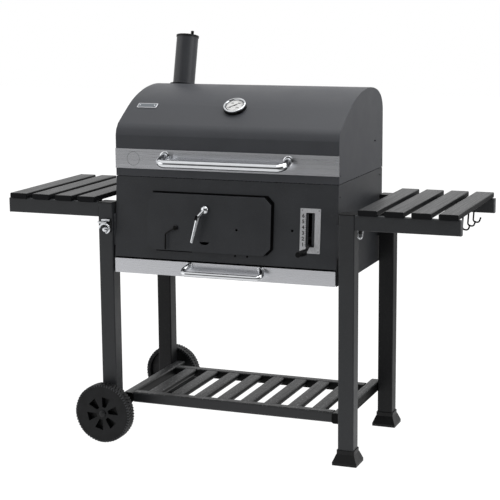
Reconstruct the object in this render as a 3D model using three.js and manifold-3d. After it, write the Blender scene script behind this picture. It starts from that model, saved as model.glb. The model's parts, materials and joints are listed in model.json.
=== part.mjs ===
// Wheeled charcoal barbecue trolley with a lidded firebox, two slatted side tables and a chimney.
// Millimetres, +Z up, the front of the trolley faces -Y. Each named mesh is one separate piece.
import * as THREE from "three";
import { mergeVertices } from "three/addons/utils/BufferGeometryUtils.js";
import Module from "manifold-3d";

const wasm = await Module();
wasm.setup();

// ---------------------------------------------------------------- driving sizes
const SEAT = 0.3; // gap left between two pieces that bear on each other
const SHEET = 2; // sheet steel of the firebox and lid

const LEG_TUBE = 50; // square leg tube, outside
const LEG_WALL = 2;
const LEG_CORNER = 4; // corner radius of the leg tube
const LEG_SPAN_X = 848; // outside of the left legs to outside of the right legs
const LEG_SPAN_Y = 483; // outside of the front legs to outside of the rear legs
const LEG_TOP = 773;
const LEG_PAD = 5.7; // pads of the firebox that bear on the legs

const FOOT_BASE = 78; // flared foot, square at the floor
const FOOT_HEIGHT = 46;
const FOOT_WALL = 3;

const WHEEL_RADIUS = 96;
const WHEEL_WIDTH = 36;
const WHEEL_GAP = 11.5; // leg face to wheel face
const TREAD_LUGS = 56; // in each of the two staggered rows
const TREAD_DEPTH = 2.6;
const AXLE_RADIUS = 6;
const AXLE_OUT = 4; // the axle sits this far outside the middle of the legs

const SHELF_TOP = 147;
const SHELF_TUBE = 34;
const SHELF_RAIL_FRONT = -188.5; // front face of the rail under the slats' front ends
const SHELF_RAIL_REAR = 178.5; // rear face of the rail under the slats' rear ends
const SHELF_SIDE_FRONT = -195; // the side rails run between the legs from here
const SHELF_SIDE_REAR = 230; // to here
const SHELF_SLATS = 8;
const SHELF_SLAT_WIDTH = 44.7;
const SHELF_SLAT_HEIGHT = 18;

const TABLE_TOP = 792.4;
const TABLE_REACH = 738.5; // outermost slat edge, from the middle of the trolley
const TABLE_START = 11; // leg face to the innermost slat
const TABLE_OVERHANG = 6.5; // slat ends past the aprons
const TABLE_SLATS = 4;
const TABLE_SLAT_GAP = 22.2;
const TABLE_SLAT_THICK = 17;
const APRON_HEIGHT = 46.5;
const APRON_PAST = 4.5; // the aprons end this far outside the outer slat
const APRON_THICK = 20;
const APRON_INSET = 2.5; // apron face behind the leg face

const BOX_TOP = 859; // rim of the firebox
const BOX_FLOOR = 554; // lower edge of the side plates
const PANEL_ABOVE = 5; // drawer front to the lower edge of the front panel
const PANEL_SET = 3.2; // foot of the front panel behind the leg face
const PANEL_RAKE = 22.3; // the front panel leans back by this much at the rim

const DOOR_WIDTH = 411.5;
const DOOR_HEIGHT = 177.4;
const DOOR_CENTRE_X = -47;
const DOOR_FOOT = 30.4; // door's lower edge, up the panel
const DOOR_PROUD = 13;

const SLOT_X = 282.4;
const SLOT_WIDTH = 27.5;
const SLOT_HEIGHT = 103.5;
const SLOT_FOOT = 65.1; // up the panel
const LEVER_RADIUS = 5;
const LEVER_REACH = 92;

const DRAWER_FRONT_INSET = 1.8; // from the side faces of the firebox
const DRAWER_FRONT_HEIGHT = 46;

const LID_GAP = 1.5; // lid edge to firebox rim
const LID_OVER = 0.8; // lid side past the firebox side
const HINGE_X = 265;

const STRIP_FOOT = 885;
const STRIP_HEAD = 946.5;

const CHIMNEY_X = -302.5;
const CHIMNEY_Y = 172;
const CHIMNEY_TILT = 14; // degrees back from upright
const CHIMNEY_RADIUS = 36.3;
const CHIMNEY_LENGTH = 165;

const GAUGE_X = 0;
const GAUGE_Y = -121;
const GAUGE_RADIUS = 35.6;
const STEM_RADIUS = 5; // gauge stem through the lid

// Sizes that follow from the ones above
const LEG_X = LEG_SPAN_X / 2 - LEG_TUBE / 2;
const LEG_Y = LEG_SPAN_Y / 2 - LEG_TUBE / 2;
const INNER_X = LEG_SPAN_X / 2 - LEG_TUBE; // inner faces of the legs
const BOX_HALF = INNER_X - SEAT - LEG_PAD;
const PANEL_FOOT = BOX_FLOOR + DRAWER_FRONT_HEIGHT + PANEL_ABOVE;
const BOX_REAR = LEG_SPAN_Y / 2 + 4.5;
const PANEL_FOOT_Y = PANEL_SET - LEG_SPAN_Y / 2;
const PANEL_HEAD_Y = PANEL_FOOT_Y + PANEL_RAKE;
const TRAY_FRONT = PANEL_FOOT_Y + 33;
const TRAY_REST = PANEL_FOOT + 44; // underside of the ember tray at its lowest
const GRATE_REST = BOX_TOP - 27; // grates lie on ledges with this top
const DRAWER_FRONT_WIDTH = 2 * (BOX_HALF - DRAWER_FRONT_INSET);
const DRAWER_BACK = BOX_REAR - 20;
const LID_REAR = BOX_REAR + 1;
const LID_HALF = BOX_HALF + LID_OVER;
const HINGE_Z = BOX_TOP + 2;
const HINGE_Y = BOX_REAR + 8;
const AXLE_X = -LEG_X - AXLE_OUT;
const TABLE_DEPTH = LEG_SPAN_Y - 2 * APRON_INSET + 2 * TABLE_OVERHANG;
const APRON_SPAN_Y = LEG_SPAN_Y - 2 * APRON_INSET;
const TABLE_INNER = LEG_SPAN_X / 2 + TABLE_START;
const TABLE_SLAT_WIDTH =
  (TABLE_REACH - TABLE_INNER - (TABLE_SLATS - 1) * TABLE_SLAT_GAP) / TABLE_SLATS;
const TABLE_SLAT_PITCH = TABLE_SLAT_WIDTH + TABLE_SLAT_GAP;
const WHEEL_Y = LEG_SPAN_Y / 2 + WHEEL_GAP + WHEEL_WIDTH / 2;
const PANEL_LEAN = Math.atan2(PANEL_HEAD_Y - PANEL_FOOT_Y, BOX_TOP - PANEL_FOOT);

// ---------------------------------------------------------------- materials
const steel = (color, roughness, metalness) =>
  new THREE.MeshStandardMaterial({ color, roughness, metalness });
const FINISH = {
  frame: steel(0x333436, 0.55, 0.3),
  body: steel(0x3a3b3e, 0.5, 0.35),
  lid: steel(0x55565a, 0.45, 0.4),
  slat: steel(0x7d7d80, 0.8, 0.0),
  shelf: steel(0x3a3b3c, 0.75, 0.1),
  plastic: steel(0x1c1d1e, 0.6, 0.0),
  stainless: steel(0xb4b5b8, 0.32, 0.9),
  chrome: steel(0xd6d7da, 0.12, 1.0),
  wire: steel(0x17181a, 0.4, 0.5),
  dial: steel(0xf0f0ee, 0.5, 0.0),
  needle: steel(0x26272a, 0.5, 0.0),
  enamel: steel(0x26272a, 0.35, 0.2),
};

// ---------------------------------------------------------------- solids
/** Turns a closed three.js geometry into a manifold-3d solid. */
function solidOf(geometry) {
  const flat = geometry.index ? geometry.toNonIndexed() : geometry;
  const bare = new THREE.BufferGeometry();
  bare.setAttribute("position", flat.getAttribute("position"));
  const merged = mergeVertices(bare, 1e-4);
  return new wasm.Manifold(
    new wasm.Mesh({
      numProp: 3,
      vertProperties: merged.attributes.position.array,
      triVerts: new Uint32Array(merged.index.array),
    }),
  );
}

/** Turns a manifold-3d solid back into a three.js geometry. */
function geometryOf(solid) {
  const mesh = solid.getMesh();
  const stride = mesh.numProp;
  const position = new Float32Array(mesh.numVert * 3);
  for (let i = 0; i < mesh.numVert; i++) {
    position.set(mesh.vertProperties.subarray(i * stride, i * stride + 3), i * 3);
  }
  const indexed = new THREE.BufferGeometry();
  indexed.setAttribute("position", new THREE.BufferAttribute(position, 3));
  indexed.setIndex(new THREE.BufferAttribute(new Uint32Array(mesh.triVerts), 1));
  const flat = indexed.toNonIndexed();
  flat.computeVertexNormals();
  return flat;
}

/** Joins closed geometries into one. */
function join(...geometries) {
  return geometryOf(geometries.map(solidOf).reduce((all, next) => all.add(next)));
}

/** Cuts every tool out of a geometry. */
function cut(geometry, ...tools) {
  return geometryOf(tools.map(solidOf).reduce((left, tool) => left.subtract(tool), solidOf(geometry)));
}

const ALONG_X = new THREE.Matrix4().makeBasis(
  new THREE.Vector3(0, 1, 0),
  new THREE.Vector3(0, 0, 1),
  new THREE.Vector3(1, 0, 0),
);
const ALONG_Y = new THREE.Matrix4().makeBasis(
  new THREE.Vector3(-1, 0, 0),
  new THREE.Vector3(0, 0, 1),
  new THREE.Vector3(0, 1, 0),
);

/** Extrudes a shape from `from` to `to` along X (shape in Y, Z), Y (shape in -X, Z) or Z. */
function extrude(shape, axis, from, to, curveSegments = 1) {
  const geometry = new THREE.ExtrudeGeometry(shape, {
    depth: to - from,
    bevelEnabled: false,
    curveSegments,
  });
  geometry.translate(0, 0, from);
  if (axis === "x") geometry.applyMatrix4(ALONG_X);
  if (axis === "y") geometry.applyMatrix4(ALONG_Y);
  return geometry;
}

/** A shape from a list of [x, y] corners. */
function polygon(corners) {
  return new THREE.Shape(corners.map(([x, y]) => new THREE.Vector2(x, y)));
}

/** A rectangle about (cx, cy) with rounded corners. */
function roundedRect(width, height, radius, cx = 0, cy = 0) {
  const x = width / 2;
  const y = height / 2;
  const r = Math.min(radius, x - 0.01, y - 0.01);
  const shape = new THREE.Shape();
  shape.moveTo(cx - x + r, cy - y);
  shape.lineTo(cx + x - r, cy - y);
  shape.absarc(cx + x - r, cy - y + r, r, -Math.PI / 2, 0);
  shape.lineTo(cx + x, cy + y - r);
  shape.absarc(cx + x - r, cy + y - r, r, 0, Math.PI / 2);
  shape.lineTo(cx - x + r, cy + y);
  shape.absarc(cx - x + r, cy + y - r, r, Math.PI / 2, Math.PI);
  shape.lineTo(cx - x, cy - y + r);
  shape.absarc(cx - x + r, cy - y + r, r, Math.PI, 1.5 * Math.PI);
  return shape;
}

/** A rectangle about (cx, cy) whose corners are cut off. */
function chamferedRect(width, height, chamfer, cx = 0, cy = 0) {
  const x = width / 2;
  const y = height / 2;
  const c = chamfer;
  const corners = [
    [-x + c, -y], [x - c, -y], [x, -y + c], [x, y - c],
    [x - c, y], [-x + c, y], [-x, y - c], [-x, -y + c],
  ];
  return polygon(corners.map(([px, py]) => [px + cx, py + cy]));
}

/** A tube of a given outline, hollow by `wall`. */
function hollow(width, height, radius, wall) {
  const shape = roundedRect(width, height, radius);
  shape.holes.push(roundedRect(width - 2 * wall, height - 2 * wall, Math.max(radius - wall, 0.4)));
  return shape;
}

/** A circle of `sides` corners, so that its facets are chosen and not guessed. */
function circle(radius, sides = 24, cx = 0, cy = 0) {
  const corners = [];
  for (let i = 0; i < sides; i++) {
    const a = (2 * Math.PI * i) / sides;
    corners.push([cx + radius * Math.cos(a), cy + radius * Math.sin(a)]);
  }
  return polygon(corners);
}

/** A block between two corners. */
function block([x0, y0, z0], [x1, y1, z1]) {
  const geometry = new THREE.BoxGeometry(x1 - x0, y1 - y0, z1 - z0);
  geometry.translate((x0 + x1) / 2, (y0 + y1) / 2, (z0 + z1) / 2);
  return geometry;
}

/** A round bar or bore along an axis, centred on the other two coordinates. */
function bar(axis, radius, from, to, [a, b] = [0, 0], sides = 24) {
  const geometry = extrude(circle(radius, sides), axis, from, to);
  if (axis === "x") geometry.translate(0, a, b);
  if (axis === "y") geometry.translate(a, 0, b);
  if (axis === "z") geometry.translate(a, b, 0);
  return geometry;
}

/** Revolves a closed [radius, height] profile about Z. */
function revolve(profile, segments = 36) {
  const points = profile.map(([r, z]) => new THREE.Vector2(r, z));
  const geometry = new THREE.LatheGeometry(points, segments);
  geometry.rotateX(Math.PI / 2);
  return geometry;
}

/** A path of straight runs joined by bends, sampled only where it turns. */
class BentPath extends THREE.Curve {
  constructor(corners, bend, bendSteps = 5) {
    super();
    const at = corners.map((c) => new THREE.Vector3(...c));
    this.nodes = [at[0]];
    for (let i = 1; i < at.length - 1; i++) {
      const inward = at[i - 1].clone().sub(at[i]).normalize();
      const outward = at[i + 1].clone().sub(at[i]).normalize();
      const half = inward.angleTo(outward) / 2;
      const reach = bend / Math.tan(half);
      const centre = inward.clone().add(outward).normalize().multiplyScalar(bend / Math.sin(half)).add(at[i]);
      const start = at[i].clone().addScaledVector(inward, reach).sub(centre);
      const end = at[i].clone().addScaledVector(outward, reach).sub(centre);
      const sweep = start.angleTo(end);
      const axis = start.clone().cross(end).normalize();
      for (let k = 0; k <= bendSteps; k++) {
        this.nodes.push(start.clone().applyAxisAngle(axis, (sweep * k) / bendSteps).add(centre));
      }
    }
    this.nodes.push(at[at.length - 1]);
    this.steps = this.nodes.length - 1;
  }

  getPoint(t, target = new THREE.Vector3()) {
    const s = Math.min(Math.max(t, 0), 1) * this.steps;
    const i = Math.min(Math.floor(s), this.steps - 1);
    return target.copy(this.nodes[i]).lerp(this.nodes[i + 1], s - i);
  }

  getPointAt(u, target) {
    return this.getPoint(u, target);
  }

  getTangentAt(u, target = new THREE.Vector3()) {
    const i = Math.round(u * this.steps);
    const before = this.nodes[Math.max(i - 1, 0)];
    const here = this.nodes[i];
    const after = this.nodes[Math.min(i + 1, this.steps)];
    const arriving = here.clone().sub(before).normalize();
    const leaving = after.clone().sub(here).normalize();
    return target.copy(arriving).add(leaving).normalize();
  }
}

/** Round wire or rod bent along corners. */
function rod(corners, radius, bend, sides = 12, bendSteps = 5) {
  const path = new BentPath(corners, bend, bendSteps);
  return new THREE.ExtrudeGeometry(circle(radius, sides), {
    steps: path.steps,
    extrudePath: path,
    bevelEnabled: false,
  });
}

/** Makes a named mesh and adds it to a group. */
function place(group, name, geometry, material, position = [0, 0, 0], rotation = [0, 0, 0]) {
  const mesh = new THREE.Mesh(geometry, material);
  mesh.name = name;
  mesh.position.set(...position);
  mesh.rotation.set(...rotation);
  group.add(mesh);
  return mesh;
}

const SIDES = { left: -1, right: 1 };
const ENDS = { front: -1, rear: 1 };

// ---------------------------------------------------------------- legs, feet, wheels
/** One leg tube; the left ones carry the axle and end above the floor. */
function legGeometry(foot, drilled) {
  const tube = extrude(hollow(LEG_TUBE, LEG_TUBE, LEG_CORNER, LEG_WALL), "z", foot, LEG_TOP);
  if (!drilled) return tube;
  return cut(tube, bar("y", AXLE_RADIUS + SEAT, -LEG_TUBE, LEG_TUBE, [-AXLE_OUT, WHEEL_RADIUS], 16));
}

/** Plug that closes a leg tube: a plate with a stem that fits the bore. */
function plugGeometry(thick, stem, upward) {
  const bore = LEG_TUBE - 2 * LEG_WALL - 2 * SEAT;
  const plate = extrude(roundedRect(LEG_TUBE, LEG_TUBE, LEG_CORNER), "z", 0, thick);
  const plug = join(plate, extrude(roundedRect(bore, bore, 2), "z", -stem, 0.5));
  if (!upward) plug.rotateX(Math.PI);
  return plug;
}

/** Flared foot: a collar that the leg stands in, spreading to a square base. */
function footGeometry() {
  const bore = LEG_TUBE + 2 * SEAT;
  const collar = bore + 2 * FOOT_WALL;
  const flare = new THREE.CylinderGeometry(collar / Math.SQRT2, FOOT_BASE / Math.SQRT2, 26, 4, 1);
  flare.rotateY(Math.PI / 4);
  flare.rotateX(Math.PI / 2);
  flare.translate(0, 0, 8 + 13);
  const foot = join(
    flare,
    extrude(roundedRect(FOOT_BASE, FOOT_BASE, 2), "z", 0, 8.02),
    extrude(roundedRect(collar, collar, LEG_CORNER + 1), "z", 33.98, FOOT_HEIGHT),
  );
  return cut(foot, extrude(roundedRect(bore, bore, LEG_CORNER), "z", 10, FOOT_HEIGHT + 1));
}

/** One row of tread lugs: a saw-edged disc, turned by a share of the lug pitch. */
function treadOutline(shift) {
  const corners = [];
  for (let i = 0; i < 2 * TREAD_LUGS; i++) {
    const a = (Math.PI * (i + shift)) / TREAD_LUGS;
    const r = WHEEL_RADIUS - (i % 2 === 0 ? 0 : TREAD_DEPTH);
    corners.push([r * Math.cos(a), r * Math.sin(a)]);
  }
  return polygon(corners);
}

/** Moulded wheel: two staggered rows of lugs, hollow back, six deep pockets and a long hub. */
function wheelGeometry() {
  const half = WHEEL_WIDTH / 2;
  const web = 4;
  const lip = WHEEL_RADIUS - 11.5;
  const back = revolve([[0, 0], [lip - 4, 0], [lip, half], [0, half], [0, 0]], 24);
  back.rotateX(Math.PI).translate(0, 0, -web);
  const hub = bar("z", 17, -half - 1, half, [0, 0], 16);
  const rows = join(
    extrude(treadOutline(0), "z", -half, 0.01),
    extrude(treadOutline(1), "z", 0, half),
  );
  const pocket = polygon([[-5.5, 21], [5.5, 21], [14.5, 53], [-14.5, 53]]);
  const pockets = [];
  for (let i = 0; i < 6; i++) {
    const tool = extrude(pocket, "z", -web + 3, half + 2);
    pockets.push(tool.rotateZ((Math.PI * i) / 3 - Math.PI / 12));
  }
  const bore = bar("z", AXLE_RADIUS + 0.5, -half - 5, half + 5, [0, 0], 16);
  const wheel = cut(join(cut(rows, back), hub), bore, ...pockets);
  wheel.rotateX(Math.PI / 2);
  return wheel;
}

/** Axle through both left legs, with a domed retaining cap outside each wheel. */
function axleGeometry() {
  const tip = WHEEL_Y + WHEEL_WIDTH / 2 + 1.4;
  const shaft = bar("y", AXLE_RADIUS, -tip, tip, [0, 0], 16);
  const caps = [-1, 1].map((side) => {
    const cap = revolve([[0, 0], [11, 0], [11, 2.2], [8, 4.2], [0, 4.8]], 16);
    cap.rotateX((-side * Math.PI) / 2);
    cap.translate(0, side * (tip - 0.2), 0);
    return cap;
  });
  return join(shaft, ...caps);
}

function buildUndercarriage() {
  const group = new THREE.Group();
  for (const [end, y] of Object.entries(ENDS)) {
    for (const [side, x] of Object.entries(SIDES)) {
      const left = side === "left";
      const foot = left ? 62 : 10 + SEAT;
      const at = [x * LEG_X, y * LEG_Y, 0];
      place(group, `leg_${end}_${side}`, legGeometry(foot, left), FINISH.frame, at);
      const top = [at[0], at[1], LEG_TOP + SEAT];
      place(group, `leg_cap_${end}_${side}`, plugGeometry(3, 14, true), FINISH.plastic, top);
      if (left) {
        const under = [at[0], at[1], 62 - SEAT];
        place(group, `leg_plug_${end}_left`, plugGeometry(3, 12, false), FINISH.plastic, under);
      } else {
        place(group, `foot_${end}_right`, footGeometry(), FINISH.plastic, at);
      }
    }
    const hub = [AXLE_X, y * WHEEL_Y, WHEEL_RADIUS];
    const turned = [0, 0, y < 0 ? 0 : Math.PI];
    place(group, `wheel_${end}`, wheelGeometry(), FINISH.plastic, hub, turned);
  }
  place(group, "axle", axleGeometry(), FINISH.chrome, [AXLE_X, 0, WHEEL_RADIUS]);
  return group;
}

// ---------------------------------------------------------------- lower shelf
function buildShelf() {
  const group = new THREE.Group();
  const centre = SHELF_TOP - SHELF_TUBE / 2;
  const railX = INNER_X - SEAT - SHELF_TUBE / 2;
  const side = extrude(hollow(SHELF_TUBE, SHELF_TUBE, 6, 2), "y", SHELF_SIDE_FRONT, SHELF_SIDE_REAR);
  place(group, "shelf_side_left", side, FINISH.shelf, [-railX, 0, centre]);
  place(group, "shelf_side_right", side.clone(), FINISH.shelf, [railX, 0, centre]);

  const inside = railX - SHELF_TUBE / 2 - SEAT;
  const front = SHELF_RAIL_FRONT + SHELF_TUBE / 2;
  const rear = SHELF_RAIL_REAR - SHELF_TUBE / 2;
  const parts = [front, rear].map((y) => {
    const rail = extrude(roundedRect(SHELF_TUBE, SHELF_TUBE, 6), "x", -inside, inside);
    return rail.translate(0, y, 0);
  });
  const pitch = (2 * inside) / (SHELF_SLATS + 0.45);
  for (let i = 0; i < SHELF_SLATS; i++) {
    const shape = roundedRect(SHELF_SLAT_WIDTH, SHELF_SLAT_HEIGHT, 7);
    const slat = extrude(shape, "y", front, rear);
    const x = (i - (SHELF_SLATS - 1) / 2) * pitch;
    parts.push(slat.translate(x, 0, SHELF_TUBE / 2 - SHELF_SLAT_HEIGHT / 2 - 1));
  }
  place(group, "shelf_rack", join(...parts), FINISH.shelf, [0, 0, centre]);
  return group;
}

// ---------------------------------------------------------------- side tables
/** J-hook of bent wire that hangs from the outer slat and opens outwards. */
function hookGeometry() {
  return rod([[-9, 0, -2], [-10, 0, -41], [8, 0, -41], [11, 0, -29]], 2, 7.5, 8, 4);
}

function buildTable(sideName) {
  const side = SIDES[sideName];
  const group = new THREE.Group();
  const underside = TABLE_TOP - TABLE_SLAT_THICK;
  const inner = LEG_SPAN_X / 2 + SEAT;
  const outer = TABLE_REACH + APRON_PAST;
  const span = [inner, outer].map((x) => x * side).sort((a, b) => a - b);
  for (const [end, y] of Object.entries(ENDS)) {
    const apron = extrude(hollow(APRON_THICK, APRON_HEIGHT, 2.5, 1.8), "x", ...span);
    const at = [0, y * (APRON_SPAN_Y / 2 - APRON_THICK / 2), underside - SEAT - APRON_HEIGHT / 2];
    place(group, `table_${sideName}_apron_${end}`, apron, FINISH.frame, at);
  }
  for (let i = 0; i < TABLE_SLATS; i++) {
    const shape = roundedRect(TABLE_SLAT_WIDTH, TABLE_SLAT_THICK, 3);
    const slat = extrude(shape, "y", -TABLE_DEPTH / 2, TABLE_DEPTH / 2);
    const x = side * (TABLE_REACH - TABLE_SLAT_WIDTH / 2 - i * TABLE_SLAT_PITCH);
    const at = [x, 0, TABLE_TOP - TABLE_SLAT_THICK / 2];
    place(group, `table_${sideName}_slat_${i + 1}`, slat, FINISH.slat, at);
  }
  return group;
}

function buildHooks() {
  const group = new THREE.Group();
  [-138.5, -65, 8.5].forEach((y, i) => {
    const at = [TABLE_REACH, y, TABLE_TOP - TABLE_SLAT_THICK - SEAT + 2];
    place(group, `tool_hook_${i + 1}`, hookGeometry(), FINISH.wire, at);
  });
  return group;
}

// ---------------------------------------------------------------- firebox
/** Firebox shell: side plates, leaning front panel and rear panel round an open well. */
function fireboxGeometry() {
  const side = polygon([
    [PANEL_FOOT_Y, PANEL_FOOT], [PANEL_FOOT_Y + 1, BOX_FLOOR], [BOX_REAR, BOX_FLOOR],
    [BOX_REAR, BOX_TOP], [PANEL_HEAD_Y, BOX_TOP],
  ]);
  const well = polygon([
    [PANEL_FOOT_Y + SHEET, PANEL_FOOT], [PANEL_FOOT_Y + SHEET + 1, BOX_FLOOR - 5],
    [BOX_REAR - SHEET, BOX_FLOOR - 5], [BOX_REAR - SHEET, BOX_TOP + 5],
    [PANEL_HEAD_Y + SHEET, BOX_TOP + 5],
  ]);
  const inside = BOX_HALF - SHEET;
  const mouth = block([-inside, PANEL_FOOT_Y - 5, BOX_FLOOR - 5], [inside, PANEL_FOOT_Y + 5, PANEL_FOOT]);
  const shell = cut(
    extrude(side, "x", -BOX_HALF, BOX_HALF),
    extrude(well, "x", -inside, inside),
    mouth,
  );
  const ledge = 12;
  const runners = [-1, 1].map((s) => {
    const x = [s * (inside - ledge), s * (inside + 0.5)].sort((a, b) => a - b);
    return block([x[0], PANEL_FOOT_Y + 18, BOX_FLOOR], [x[1], BOX_REAR - 1, BOX_FLOOR + SHEET]);
  });
  const pads = [-1, 1].flatMap((s) =>
    [-1, 1].map((end) => {
      const x = [s * (BOX_HALF - 0.5), s * (BOX_HALF + LEG_PAD)].sort((a, b) => a - b);
      return block([x[0], end * LEG_Y - 17, 640], [x[1], end * LEG_Y + 17, 740]);
    }),
  );
  const grateRests = [
    block([-inside - 0.5, BOX_REAR - SHEET - 14, GRATE_REST - SHEET], [inside + 0.5, BOX_REAR - 1, GRATE_REST]),
    block([-inside - 0.5, PANEL_HEAD_Y + 0.6, GRATE_REST - SHEET], [inside + 0.5, PANEL_HEAD_Y + SHEET + 16, GRATE_REST]),
  ];
  return cut(join(shell, ...runners, ...pads, ...grateRests), ...panelOpenings());
}

/** Frame of the leaning front panel: Z runs up its outer face, -Y points out of it. */
function panelFrame() {
  const frame = new THREE.Group();
  frame.position.set(0, PANEL_FOOT_Y, PANEL_FOOT);
  frame.rotation.x = -PANEL_LEAN;
  frame.updateMatrix();
  return frame;
}

/** Door opening, lever slot and the small holes of the front panel, in the trolley's frame. */
function panelOpenings() {
  const doorway = roundedRect(DOOR_WIDTH - 16, DOOR_HEIGHT - 16, 20, -DOOR_CENTRE_X, DOOR_FOOT + DOOR_HEIGHT / 2);
  const tools = [
    extrude(doorway, "y", -10, 10),
    extrude(roundedRect(SLOT_WIDTH, SLOT_HEIGHT, 3, -SLOT_X, SLOT_FOOT + SLOT_HEIGHT / 2), "y", -10, 10),
    bar("y", 4, -10, 10, [224, 111.5], 12),
  ];
  const matrix = panelFrame().matrix;
  return tools.map((tool) => tool.applyMatrix4(matrix));
}

/** Pressed door pan with folded edges, a finger notch and a peep hole. */
function doorGeometry() {
  const outer = chamferedRect(DOOR_WIDTH, DOOR_HEIGHT, 22);
  const inner = chamferedRect(DOOR_WIDTH - 2 * SHEET, DOOR_HEIGHT - 2 * SHEET, 22);
  const pan = cut(
    extrude(outer, "y", -DOOR_PROUD, -SEAT * 2),
    extrude(inner, "y", -DOOR_PROUD + SHEET, 5),
  );
  const notch = new THREE.Shape();
  notch.absarc(0, 0, 16, Math.PI, 2 * Math.PI);
  const crescent = extrude(notch, "y", -DOOR_PROUD - 5, 5, 4);
  crescent.scale(1, 1, 0.55).translate(-11.3, 0, -57);
  return cut(
    pan,
    crescent,
    bar("y", 4, -30, 5, [95, -13.8], 12),
    bar("y", 4, -30, 5, [-9.5, 42.4], 16),
    bar("y", 2.6, -30, 5, [-108.2, -18.7], 12),
  );
}

/** Chrome latch: boss on a spindle through the door, cranked arm and tapered grip, cam behind. */
function latchGeometry() {
  const spindle = bar("y", 3.4, -16, DOOR_PROUD + 5, [0, 0], 10);
  const boss = bar("y", 13, -12, -SEAT, [0, 0], 20);
  const arm = rod([[0, -9, 0], [-15, -22, -22]], 5, 1, 10);
  const grip = new THREE.CylinderGeometry(5.2, 7.5, 86, 12).rotateX(Math.PI / 2);
  grip.rotateY(0.24).translate(-25, -24, -64);
  const collar = new THREE.CylinderGeometry(7.5, 7.5, 6, 12).rotateX(Math.PI / 2);
  collar.rotateY(0.24).translate(-16, -23, -24);
  const cam = block([-7, DOOR_PROUD + 2, -7], [7, DOOR_PROUD + 5, 22]);
  return join(spindle, boss, arm, grip, collar, cam);
}

/** Vent crank of bent black wire, lying on the door. */
function ventLeverGeometry() {
  const wire = rod([[0, 4, 0], [0, -9, 0], [-30.5, -9, -19], [-30.5, -9, -68]], 2.4, 5, 8, 3);
  const knob = bar("y", 7.5, -7, -SEAT, [0, 0], 14);
  return join(wire, knob);
}

/** Scale plate with a window round the lever slot. */
function scalePlateGeometry() {
  const plate = roundedRect(64.8, 136, 2);
  const window = roundedRect(SLOT_WIDTH + 0.5, SLOT_HEIGHT + 0.5, 2, 0, 3);
  plate.holes.push(window);
  return extrude(plate, "y", -SHEET * 0.75 - SEAT, -SEAT);
}

/** Ember tray with slotted floor, carried by the lever. */
function trayGeometry(half, front, back, height) {
  const outer = block([-half, front, 0], [half, back, height]);
  const inner = block([-half + SHEET, front + SHEET, SHEET], [half - SHEET, back - SHEET, height + 5]);
  const slots = [];
  for (let i = -4; i <= 4; i++) {
    const x = i * half * 0.216;
    slots.push(block([x - 5, front + 45, -5], [x + 5, -18 + (front + back) / 2, SHEET + 5]));
    slots.push(block([x - 5, 18 + (front + back) / 2, -5], [x + 5, back - 45, SHEET + 5]));
  }
  return cut(outer, inner, ...slots);
}

/** Lever rod with a flange on the tray and a black grip outside. */
function leverGeometry() {
  const start = TRAY_FRONT - SEAT;
  const end = PANEL_FOOT_Y - LEVER_REACH;
  const shank = rod(
    [[0, start - 1, 0], [0, PANEL_FOOT_Y - 9, 0], [-1, PANEL_FOOT_Y - 17, -10], [-3, end + 10, -14]],
    LEVER_RADIUS, 9, 10, 3,
  );
  const flange = block([-12, start - 3, -12], [12, start, 12]);
  const grip = new THREE.CylinderGeometry(10.5, 8.5, 54, 16);
  grip.rotateX(-0.05).translate(-2.5, end + 26.9, -13.6);
  return join(shank, flange, grip);
}

function buildFirebox() {
  const group = new THREE.Group();
  place(group, "firebox_shell", fireboxGeometry(), FINISH.body);
  const tray = trayGeometry(BOX_HALF - 22, TRAY_FRONT, BOX_REAR - 27, 48);
  place(group, "charcoal_tray", tray, FINISH.enamel, [0, 0, TRAY_REST]);
  const lever = PANEL_FOOT + SLOT_FOOT * Math.cos(PANEL_LEAN) + LEVER_RADIUS + SEAT;
  place(group, "charcoal_lever", leverGeometry(), FINISH.wire, [SLOT_X - 2, 0, lever]);

  const panel = panelFrame();
  group.add(panel);
  const door = new THREE.Group();
  door.position.set(DOOR_CENTRE_X, 0, DOOR_FOOT + DOOR_HEIGHT / 2);
  panel.add(door);
  place(door, "charcoal_door", doorGeometry(), FINISH.body);
  place(door, "door_latch", latchGeometry(), FINISH.chrome, [-9.5, -DOOR_PROUD, 42.4]);
  place(door, "vent_lever", ventLeverGeometry(), FINISH.wire, [-108.2, -DOOR_PROUD, -18.7]);
  place(panel, "scale_plate", scalePlateGeometry(), FINISH.stainless, [SLOT_X - 0.5, 0, SLOT_FOOT + SLOT_HEIGHT / 2 - 3]);
  return group;
}

/** Cooking grate: a rod frame with bars front to back. */
function grateGeometry(width, depth) {
  const x = width / 2 - 3;
  const y = depth / 2 - 3;
  const frame = [
    bar("x", 3, -x, x, [-y, 0], 8), bar("x", 3, -x, x, [y, 0], 8),
    bar("x", 3, -x, x, [0, -3.5], 8),
    bar("y", 3, -y - 3, y + 3, [-x, 0], 8), bar("y", 3, -y - 3, y + 3, [x, 0], 8),
  ];
  const count = 14;
  for (let i = 1; i < count; i++) {
    frame.push(bar("y", 2, -y, y, [-x + (2 * x * i) / count, 0], 6));
  }
  return join(...frame);
}

function buildGrates() {
  const group = new THREE.Group();
  const front = PANEL_HEAD_Y + SHEET + 3;
  const back = BOX_REAR - SHEET - 2;
  const width = BOX_HALF - SHEET - 3;
  for (const [side, x] of Object.entries(SIDES)) {
    const at = [(x * (width + 3)) / 2, (front + back) / 2, GRATE_REST + 3 + SEAT];
    place(group, `cooking_grate_${side}`, grateGeometry(width, back - front), FINISH.enamel, at);
  }
  return group;
}

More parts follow.
